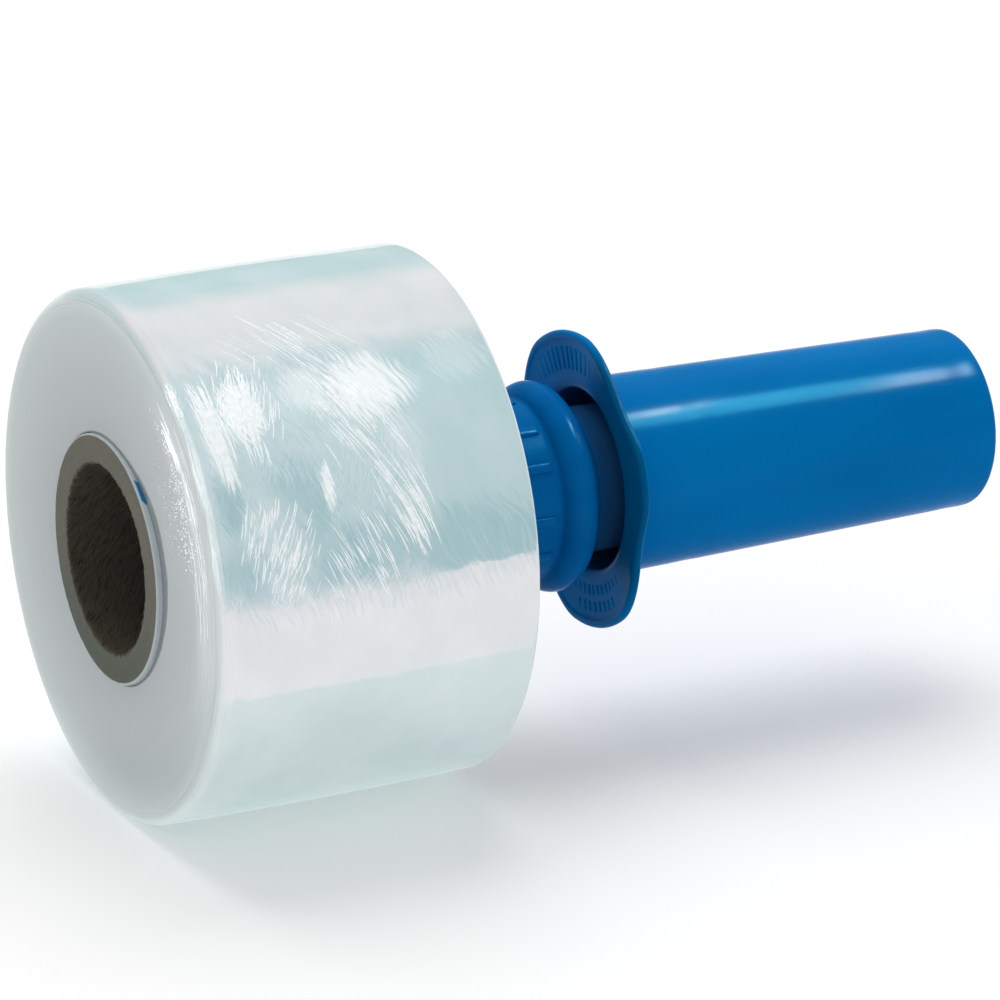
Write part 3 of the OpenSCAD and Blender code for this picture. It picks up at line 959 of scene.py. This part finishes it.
spindleLook = {
    "nose": 24.2, "neck": 18.45, "lead": 2.5, "beadMiddle": 95.5, "beadRound": 3.9, "beadRadius": 21.7,
    "collar": 15.5, "collarLength": 2.0, "shaft": 15.0, "groove": 14.5, "landFrom": 122.9, "landTo": 127.0,
    "journal": 13.6, "taperEnd": 183.8, "end": 189.8, "hollow": 11.4, "around": 192,
    "ribPairs": 6, "ribTurns": (58.0, 32.0), "ribTop": 19.05, "ribWidth": 2.0, "ribFrom": 26.4, "ribTo": 90.4,
    "color": (0.0, 0.146, 0.44), "deepColor": (0.0, 0.112, 0.36), "scuffColor": (0.02, 0.22, 0.55),
    "rough": 0.20, "grainScale": 1100.0, "bumpDistance": 0.00003, "shadedFrom": 99.4, "shadedUnder": 99.0,
    "taper": 0.0, "darkerBefore": 0.0,
}


def spindleOutline():
    look = spindleLook
    outline = softOutline([(look["nose"], 0, 0), (look["nose"], look["neck"] - look["lead"], 0.8),
                           (look["nose"] + look["lead"], look["neck"], 0.8), (look["ribTo"], look["neck"], 0)])
    middle, tube, ring = look["beadMiddle"], look["beadRound"], look["beadRadius"] - look["beadRound"]
    fillet = 1.0
    meet = math.degrees(math.asin((look["neck"] + fillet - ring) / (tube + fillet)))
    filletAt = middle - (tube + fillet) * math.cos(math.radians(meet))
    for i in range(7):
        a = math.radians(270 + (90 - meet) * i / 6)
        outline.append((filletAt + fillet * math.cos(a), look["neck"] + fillet + fillet * math.sin(a)))
    for i in range(1, 29):
        a = math.radians(180 - meet - (160 - meet) * i / 28)
        outline.append((middle + tube * math.cos(a), ring + tube * math.sin(a)))
    last, collarEnd = outline[-1], middle + tube + look["collarLength"]
    outline += softOutline([(*last, 0), (middle + tube, look["collar"], 0.35), (collarEnd, look["collar"], 0.25),
                            (collarEnd + 0.4, look["shaft"], 0.25), (look["landFrom"], look["shaft"], 0.15),
                            (look["landFrom"], look["groove"], 0.15), (look["landTo"], look["groove"], 0.15),
                            (look["landTo"], look["shaft"], 0.15), (look["landTo"] + 1, look["shaft"], 0.3),
                            (look["taperEnd"], look["journal"], 0.3), (look["end"] - 1, look["journal"], 0.4),
                            (look["end"], look["journal"] - 0.8, 0.3), (look["end"], look["hollow"], 0.3),
                            (middle, look["hollow"], 1.5), (middle, 0, 0)])[1:]
    return outline


# One rib, at turn 0 and with the roll's axis at the origin: a bar with a rounded top and sloped ends
def makeRibTemplate():
    look = spindleLook
    half, base = look["ribWidth"] / 2, look["neck"] - 0.6
    section = [(-half, base), (-half, look["ribTop"] - 0.35), (-half + 0.12, look["ribTop"] - 0.12),
               (-half + 0.35, look["ribTop"]), (0, look["ribTop"] + 0.02), (half - 0.35, look["ribTop"]),
               (half - 0.12, look["ribTop"] - 0.12), (half, look["ribTop"] - 0.35), (half, base)]
    rows = [(look["ribFrom"], -0.9), (look["ribFrom"] + 1.0, -0.05), (look["ribFrom"] + 1.3, 0.0), (60, 0.0),
            (look["ribTo"] - 0.9, 0.0), (look["ribTo"] - 0.55, -0.06), (look["ribTo"] - 0.3, -0.2),
            (look["ribTo"] + 0.1, -0.7)]
    return newObject("ribTemplate", barMesh("ribTemplate", [
        [((station - axisPlace["middle"]) * mm, -max(r + drop, base) * mm, across * mm) for across, r in section]
        for station, drop in rows]))


# What both blue mouldings share: the painted shade inside the sleeve, and the painted shade on the flange's
# front between its lobes, which is deepest at frontShadeTurn and runs out between the two angles from there
plasticTones = {
    "inside": (0.025, 0.026, 0.035), "insideShadeShare": 0.52, "frontShade": (0.0, 0.07, 0.17), "frontShadeShare": 0.70,
    "frontShadeTurn": 17.0, "frontShadeAngles": (46.0, 70.0), "scuffShare": 0.35, "flow": 55.0, "specular": 0.15,
}


# Moulded blue plastic. Inside the sleeve, past shadedFrom and under shadedUnder, it is painted nearly black as shade.
# The taper is how much narrower the sleeve gets for each unit of its length; the flange's front ends at darkerBefore.
def makePlasticMaterial(name, look, rollPlace, moulded):
    tones, shadedFrom, shadedUnder = plasticTones, look["shadedFrom"], look["shadedUnder"]
    material, tree = newTree(name, look["color"])
    skin = useGroup(tree, moulded, Grain=look["grainScale"], Flow=tones["flow"])
    tone = blendColor(tree, fade(tree, skin["Tone"], 0.3, 0.7), look["deepColor"], look["color"])
    tone = blendColor(tree, times(tree, skin["Scuff"], tones["scuffShare"]), tone, look["scuffColor"])
    place = useGroup(tree, rollPlace)
    untapered = calc(tree, "MULTIPLY_ADD", minus(tree, place["Station"], shadedFrom), look["taper"],
                     place["Radius"])
    # painted shade deep inside the sleeve
    insideShade = times(tree, fade(tree, place["Station"], shadedFrom, shadedFrom + 5.0),
                       fade(tree, untapered, shadedUnder - 0.3, shadedUnder, to=(1.0, 0.0)))
    # painted shade on the flange's front round frontShadeTurn
    fromFrontShade = calc(tree, "ABSOLUTE", minus(tree, place["Turn"], tones["frontShadeTurn"]))
    frontShade = fade(tree, fromFrontShade, *tones["frontShadeAngles"], to=(tones["frontShadeShare"], 0.0))
    onFront = fade(tree, place["Station"], look["darkerBefore"], look["darkerBefore"] + 0.8, to=(1.0, 0.0))
    tone = blendColor(tree, times(tree, onFront, frontShade), tone, tones["frontShade"])
    tone = blendColor(tree, times(tree, insideShade, tones["insideShadeShare"]), tone, tones["inside"])
    dull = calc(tree, "MULTIPLY_ADD", skin["Tone"], 0.10, look["rough"] - 0.05)
    dull = plus(tree, dull, times(tree, skin["Scuff"], 0.12))
    principled(tree, tone, dull, skin["Height"], look["bumpDistance"], **{
        "IOR": 1.12, "Specular IOR Level": tones["specular"]})
    return material


spindleMaterial = makePlasticMaterial("spindleBlue", spindleLook, rollPlace, moulded)
spindle = newObject("ribbedSpindle", lathe("spindle", spindleOutline(), spindleLook["around"]), spindleMaterial)
roundAxis = makeRoundAxis()
ribTemplate = makeRibTemplate()
ribs = [grow("ribs", roundAxis, Template=ribTemplate, Count=spindleLook["ribPairs"], First=turn,
             Step=360.0 / spindleLook["ribPairs"], Jitter=0.0, Seed=1, Finish=spindleMaterial)
        for turn in spindleLook["ribTurns"]]
joinInto(spindle, ribs)
bpy.data.objects.remove(ribTemplate)
print("spindle turned, with", 2 * spindleLook["ribPairs"], "ribs")

# Grip sleeve

gripLook = {
    "mouth": 104.6, "end": 193.2, "front": 20.4, "rear": 18.7, "endRound": 1.5, "endIn": 190.8,
    "bore": 18.7, "boreRear": 16.8, "mouthRound": 1.5, "land": 14.55, "landFrom": 123.2, "landTo": 126.7,
    "rearLand": 13.65, "rearLandFrom": 185.8, "rearLandTo": 189.3,
    "flange": 1.8, "lobe": 30.75, "dip": 26.5, "bump": 28.9, "lobeTurn": 107.3, "lean": 0.035,
    "lobeHalf": 19.0, "dipAt": 59.0, "bumpHalf": 84.0, "lip": 1.7, "hollow": 0.55, "hollowReach": 18.0,
    "sinkDepth": 0.07, "around": 360,
    "color": (0.0, 0.194, 0.53), "deepColor": (0.0, 0.164, 0.47), "scuffColor": (0.03, 0.30, 0.66),
    "rough": 0.19, "grainScale": 1300.0, "bumpDistance": 0.00002, "shadedFrom": 103.5, "shadedUnder": 19.4,
    "taper": 0.0192, "darkerBefore": 105.3,
    # rows of ridges on the lobes: turn of the middle, inner and outer radius, count, degrees between them
    "ridges": [(107.3, 22.6, 27.6, 13, 4.6), (-72.7, 21.8, 24.2, 12, 4.8), (-72.7, 25.2, 27.6, 8, 4.8)],
}


# Degrees from the middle of the nearer lobe
def fromLobe(turn):
    away = abs((turn - gripLook["lobeTurn"] + 180) % 360 - 180)
    return min(away, 180 - away)


def rimAt(turn):
    look, away = gripLook, fromLobe(turn)
    if away < look["lobeHalf"]:
        return look["lobe"]
    if away < look["dipAt"]:
        return look["lobe"] - (look["lobe"] - look["dip"]) * smooth(look["lobeHalf"], look["dipAt"], away)
    return look["dip"] + (look["bump"] - look["dip"]) * smooth(look["dipAt"], look["bumpHalf"], away)


def hollowAt(radius, turn):  # depth of the lobe's hollow, running out at its sides
    aside = radius * math.sin(math.radians(fromLobe(turn)))
    return gripLook["hollow"] * max(0.0, 1 - (aside / gripLook["hollowReach"]) ** 2)


def outsideRadius(station):
    look = gripLook
    r = look["front"] + (look["rear"] - look["front"]) * (station - look["mouth"]) / (look["end"] - look["mouth"])
    for place in (look["landFrom"] + 1.8, look["rearLandFrom"] + 1.5):
        r -= look["sinkDepth"] * hump(station, place, 1.6)
    return r


# One lengthwise outline of the sleeve at a turn, from the middle of the closed end round to its inside
def sleeveLine(turn):
    look = gripLook
    end, back = look["end"], look["mouth"] + look["flange"]
    edge = look["rear"] - look["endRound"]
    line = [(end - 0.25, 0.9), (end - 0.22, 1.7), (end, 2.2), (end, 5), (end, 9), (end, 13), (end, edge - 0.3)]
    for i in range(7):
        a = math.radians(90 - 15 * i)
        line.append((end - look["endRound"] * (1 - math.sin(a)), edge + look["endRound"] * math.cos(a)))
    bodyFrom, bodyTo = end - look["endRound"] - 0.4, back + 1.1
    for i in range(56):
        station = bodyFrom + (bodyTo - bodyFrom) * i / 55
        line.append((station, outsideRadius(station)))
    root = outsideRadius(back)
    for i in range(1, 6):
        a = math.radians(18 * i)
        line.append((back + 1.1 * (1 - math.sin(a)), root + 1.1 * (1 - math.cos(a))))
    rim, soft = rimAt(turn), 0.8
    for i in range(1, 7):
        line.append((back, root + 1.1 + (rim - soft - root - 1.1) * i / 6))
    for i in range(1, 10):
        a = math.radians(20 * i)
        bulge = soft * math.sin(a)
        line.append((back - look["flange"] * (1 - math.cos(a)) / 2, rim - soft + bulge))
    mouth = look["mouth"]
    lipIn = rim - look["lip"]
    funnelOut = look["bore"] + look["mouthRound"] + 0.7
    for inward, sunk in ((-0.25, 0.0), (-0.1, 0.12), (0.05, 0.5), (0.2, 0.88), (0.4, 1.0)):
        line.append((mouth + sunk * hollowAt(lipIn - inward, turn), lipIn - inward))
    for i in range(1, 6):
        r = lipIn - 0.4 + (funnelOut - lipIn + 0.4) * i / 5
        line.append((mouth + hollowAt(r, turn), r))
    start = hollowAt(funnelOut, turn)
    for i in range(1, 8):
        a = math.radians(90 * i / 7)
        r = look["bore"] + (funnelOut - look["bore"]) * (1 - math.sin(a))
        line.append((mouth + start + (look["mouthRound"] + 0.2 - start) * (1 - math.cos(a)), r))
    inner = [(mouth + 4, look["bore"]), (mouth + 9, look["bore"] - 0.1), (look["landFrom"] - 0.2, look["bore"] - 0.2),
             (look["landFrom"], look["bore"] - 0.4), (look["landFrom"], look["land"] + 0.3),
             (look["landFrom"] + 0.3, look["land"]), (look["landTo"] - 0.3, look["land"]),
             (look["landTo"], look["land"] + 0.3), (look["landTo"], look["bore"] - 0.6),
             (look["landTo"] + 0.3, look["bore"] - 0.3), (look["landTo"] + 20, look["bore"] - 0.9),
             (look["rearLandFrom"] - 0.2, look["boreRear"]), (look["rearLandFrom"], look["boreRear"] - 0.2),
             (look["rearLandFrom"], look["rearLand"] + 0.3), (look["rearLandFrom"] + 0.3, look["rearLand"]),
             (look["rearLandTo"] - 0.3, look["rearLand"]), (look["rearLandTo"], look["rearLand"] + 0.3),
             (look["rearLandTo"], look["boreRear"] - 0.2), (look["endIn"] - 0.2, look["boreRear"]),
             (look["endIn"], look["boreRear"] - 0.3), (look["endIn"], 9)]
    return line + inner


# The lobes lean a little towards the roll
def leaned(station, radius):
    out = max(0.0, radius - 22.0) * gripLook["lean"]
    return (station - out * (1 - smooth(2.0, 4.0, station - gripLook["mouth"])), radius)


def makeSleeveMesh():
    around = gripLook["around"]
    turns = [-90 + 360 * k / around for k in range(around)]
    lines = [sleeveLine(turn) for turn in turns]
    rings = [[onRoll(gripLook["end"] - 0.25, 0, 0)]]
    for row in range(len(lines[0])):
        rings.append([onRoll(*leaned(*lines[k][row]), turns[k]) for k in range(around)])
    rings.append([onRoll(gripLook["endIn"], 0, 0)])
    return ringMesh("gripSleeve", rings)


# One plain ridge for a lobe, at turn 0: from the inner to the outer radius, standing up towards the open end
def makeRidgeTemplate(name, inner, outer, floor):
    half, top = 0.27, 0.3
    section = [(-half, 0.25), (-half, -0.12), (-half + 0.1, -top + 0.05), (0, -top), (half - 0.1, -top + 0.05),
               (half, -0.12), (half, 0.25)]
    rows = [(inner, 0.0), (inner + 0.25, 0.75), (inner + 0.5, 1.0), (outer - 0.5, 1.0), (outer - 0.25, 0.75),
            (outer, 0.0)]
    rings = []
    for radius, full in rows:
        ring = []
        for across, rise in section:
            x = leaned(floor + (rise * full if rise < 0 else rise), radius)[0]
            ring.append(((gripLook["mouth"] + x - axisPlace["middle"]) * mm, -radius * mm,
                         across * (0.4 + 0.6 * full) * mm))
        rings.append(ring)
    return newObject(name, barMesh(name, rings))


gripMaterial = makePlasticMaterial("gripBlue", gripLook, rollPlace, moulded)
gripSleeve = newObject("gripSleeve", makeSleeveMesh(), gripMaterial)
ridges = []
for number, (turn, inner, outer, count, step) in enumerate(gripLook["ridges"]):
    template = makeRidgeTemplate("ridgeTemplate%d" % number, inner, outer, gripLook["hollow"])
    ridges.append(grow("ridges%d" % number, roundAxis, Template=template, Count=count,
                       First=turn - step * (count - 1) / 2, Step=step, Jitter=0.6, Seed=number + 3,
                       Finish=gripMaterial))
    bpy.data.objects.remove(template)
joinInto(gripSleeve, ridges)
print("grip sleeve moulded")

# Bodies and nodes

for piece, body, node, slot in (
        (filmRoll, "roll", "film_roll", "film"), (coreTube, "roll", "core", "core_board"),
        (startTape, "roll", "start_tape", "start_tape"), (spindle, "roll", "spindle", "spindle_plastic"),
        (gripSleeve, "grip", "grip_sleeve", "grip_plastic")):
    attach(piece, body)
    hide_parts(node)

# Studio

studio = {
    "cameraPlace": (-0.54742, -1.05462, 0.46846), "cameraLooks": (0.42845381, 0.84026331, -0.33224224),
    "lens": 223.2, "ambient": 0.60, "sunStrength": 1.45, "sunAngle": 50.0, "sunFrom": (0.10, 0.42, 0.90),
    "floorColor": (0.82, 0.82, 0.82), "floorTones": ((0.815, 0.815, 0.815), (0.825, 0.825, 0.825)),
    "floorSize": 8.0, "floorLift": 0.20,
    "bandColor": (1.15, 0.90, 0.92), "frontColor": (0.07, 0.30, 0.38), "backColor": (0.42, 0.60, 0.61),
    "lowColor": (1.38, 1.06, 1.12), "vault": 1.6, "sheetHeight": 0.001,
    # cards: turns of the vault where the band and the back end, and where the others fade; turns of the roll's
    # skin that show the low card; their ends along X
    "bandTurns": (106.0, 134.0), "frontTurn": 0.5, "frontFades": 88.0, "backTurn": 178.0, "backFades": 152.0,
    "lowTurns": (-14.0, 7.5), "cardEnds": (-2.5, 3.0), "lowCardEnds": (-0.8, 2.0),
}

cameraData = bpy.data.cameras.new("camera")
camera = newObject("camera", cameraData)
cameraData.lens, cameraData.sensor_width = studio["lens"], 36.0
cameraData.clip_start, cameraData.clip_end = 0.05, 50.0
camera.location = studio["cameraPlace"]
camera.rotation_mode = "QUATERNION"
camera.rotation_quaternion = Vector(studio["cameraLooks"]).to_track_quat("-Z", "Y")
bpy.context.scene.camera = camera


def addLamp(name, kind, place, towards, strength, **settings):
    data = bpy.data.lights.new(name, kind)
    data.energy = strength
    for key, value in settings.items():
        setattr(data, key, value)
    lamp = newObject(name, data)
    lamp.location = place
    lamp.rotation_mode = "QUATERNION"
    lamp.rotation_quaternion = (Vector(towards) - Vector(place)).to_track_quat("-Z", "Y")
    return lamp


sunPlace = Vector(studio["sunFrom"]) * 3
keyLamp = addLamp("keyLamp", "SUN", sunPlace, (0, 0, 0.05), studio["sunStrength"],
                  angle=math.radians(studio["sunAngle"]))
keyLamp.visible_glossy = False


# A lamp that only reflections show, hung where its glare falls on a given place of the roll, whose skin may
# tilt towards -X. It lies along X, and length and across are its sides in metres.
def addGlare(name, showsOn, station, radius, turn, length, across, strength, distance=0.65, tilt=0.0,
             color=(1, 1, 1)):
    spot, t, b = Vector(onRoll(station, radius, turn)), math.radians(turn), math.radians(tilt)
    sight = (spot - Vector(studio["cameraPlace"])).normalized()
    skin = Vector((-math.sin(b), -math.cos(b) * math.cos(t), math.cos(b) * math.sin(t)))
    place = spot + sight.reflect(skin) * distance
    aim = spot if tilt else (place.x, spot.y, spot.z)
    lamp = addLamp(name, "AREA", place, aim, strength * length * across, shape="RECTANGLE", size=length,
                   size_y=across, color=color)
    lamp.visible_camera = lamp.visible_diffuse = lamp.visible_transmission = False
    lamp.light_linking.receiver_collection = showsOn


filmPieces, plasticPieces = bpy.data.collections.new("filmPieces"), bpy.data.collections.new("plasticPieces")
filmPieces.objects.link(filmRoll)
plasticPieces.objects.link(gripSleeve)
plasticPieces.objects.link(spindle)
addGlare("filmGlare", filmPieces, station=28.0, radius=53.5, turn=48.0, length=0.056, across=0.09, strength=3.0)
for number, turn in enumerate((18, 35, 52)):
    addGlare("rimGlare%d" % number, filmPieces, station=0.9, radius=52.6, turn=turn, length=0.10, across=0.22,
             strength=23.0, tilt=45.0)
addGlare("gripGlare", plasticPieces, station=153.0, radius=20.0, turn=51.0, length=0.112, across=0.20,
         strength=720.0, color=(0.13, 0.85, 1.0))
addGlare("nearGlare", plasticPieces, station=121.0, radius=20.1, turn=54.0, length=0.009, across=0.014,
         strength=1500.0, distance=0.12)
addGlare("endGlare", plasticPieces, station=183.0, radius=18.9, turn=50.0, length=0.018, across=0.03,
         strength=600.0, distance=0.12)


def seenRays(tree):  # 1 for what the camera sees, also in reflections and through glass
    ray = addNode(tree, "ShaderNodeLightPath").outputs
    return calc(tree, "MAXIMUM", calc(tree, "MAXIMUM", ray["Is Camera Ray"], ray["Is Glossy Ray"]),
                ray["Is Transmission Ray"])


# The world is white where it is seen, and a plain level for light
def makeWorld():
    world = bpy.data.worlds.new("studioWorld")
    world.use_nodes = True
    tree = world.node_tree
    tree.nodes.clear()
    strength = calc(tree, "MULTIPLY_ADD", seenRays(tree), 1.0 - studio["ambient"], studio["ambient"])
    back = addNode(tree, "ShaderNodeBackground")
    back.inputs["Color"].default_value = (1, 1, 1, 1)
    feed(tree, strength, back.inputs["Strength"])
    endIn(tree, back.outputs[0], "ShaderNodeOutputWorld")
    bpy.context.scene.world = world


def makeFloor():
    half = studio["floorSize"] / 2
    mesh = bpy.data.meshes.new("floor")
    mesh.from_pydata([(-half, -half, 0), (half, -half, 0), (half, half, 0), (-half, half, 0)], [], [(0, 1, 2, 3)])
    material, tree = newTree("paleFloor", studio["floorColor"])
    tone = blendColor(tree, noiseAt(tree, objectPlace(tree), 40.0), *studio["floorTones"])
    matte = addNode(tree, "ShaderNodeBsdfDiffuse")
    feed(tree, tone, matte.inputs["Color"])
    lift = addNode(tree, "ShaderNodeEmission")
    lift.inputs["Color"].default_value = (1, 1, 1, 1)
    feed(tree, times(tree, seenRays(tree), studio["floorLift"]), lift.inputs["Strength"])
    both = addNode(tree, "ShaderNodeAddShader")
    feed(tree, matte.outputs[0], both.inputs[0])
    feed(tree, lift.outputs[0], both.inputs[1])
    endIn(tree, both.outputs[0])
    floor = newObject("floor", mesh, material)


# Places on the vault over the roll, as (y, z), between two turns about its axis from the camera's side up
def vaultArc(firstTurn, lastTurn, steps=24):
    turns = [math.radians(firstTurn + (lastTurn - firstTurn) * i / steps) for i in range(steps + 1)]
    high = axisPlace["height"] * mm
    return [(-studio["vault"] * math.cos(t), high + studio["vault"] * math.sin(t)) for t in turns]


# A place low over the floor that the roll reflects at a turn of its skin; cameraTurn is how far the camera's
# line of sight falls, seen along the roll's axis
def floorAt(turn, cameraTurn=21.6):
    t, down = math.radians(turn), math.radians(cameraTurn - 2 * turn)
    y, z = -filmLook["radius"] * mm * math.cos(t), (axisPlace["height"] + filmLook["radius"] * math.sin(t)) * mm
    return (y - (z - studio["sheetHeight"]) / math.tan(down), studio["sheetHeight"])


# A plain card along X that only reflections see, with the given (y, z) outline. Its light turns to white
# between two turns of the vault, which at first lie past every card.
def makeCard(name, outline, ends, color, whiteFrom=400.0, whiteTo=401.0):
    mesh = bpy.data.meshes.new(name)
    points = [(x, y, z) for y, z in outline for x in ends]
    faces = [(2 * i - 2, 2 * i - 1, 2 * i + 1, 2 * i) for i in range(1, len(outline))]
    mesh.from_pydata(points, [], faces)
    material, tree = newTree(name, color)
    _, y, z = parted(tree, objectPlace(tree))
    above = minus(tree, z, axisPlace["height"] * mm)
    vaultTurn = calc(tree, "DEGREES", calc(tree, "ARCTAN2", above, times(tree, y, -1.0)))
    tone = blendColor(tree, fade(tree, vaultTurn, whiteFrom, whiteTo), color, studio["bandColor"])
    glow = addNode(tree, "ShaderNodeEmission")
    feed(tree, tone, glow.inputs["Color"])
    endIn(tree, glow.outputs[0])
    card = newObject(name, mesh, material)
    card.visible_camera = card.visible_diffuse = card.visible_shadow = card.visible_transmission = False


makeWorld()
makeFloor()
(bandFrom, bandTo), (lowFrom, lowTo) = studio["bandTurns"], studio["lowTurns"]
makeCard("bandCard", vaultArc(bandFrom, bandTo), studio["cardEnds"], studio["bandColor"])
frontOutline = [floorAt(lowTo), (-studio["vault"], studio["sheetHeight"])] + vaultArc(studio["frontTurn"], bandFrom)
makeCard("frontCard", frontOutline, studio["cardEnds"], studio["frontColor"], whiteFrom=studio["frontFades"],
         whiteTo=bandFrom)
makeCard("backCard", vaultArc(bandTo, studio["backTurn"]), studio["cardEnds"], studio["backColor"],
         whiteFrom=studio["backFades"], whiteTo=bandTo)
makeCard("lowCard", [floorAt(lowFrom), floorAt(lowTo)], studio["lowCardEnds"], studio["lowColor"])

bpy.context.scene.view_settings.view_transform = "Standard"

print("finished")
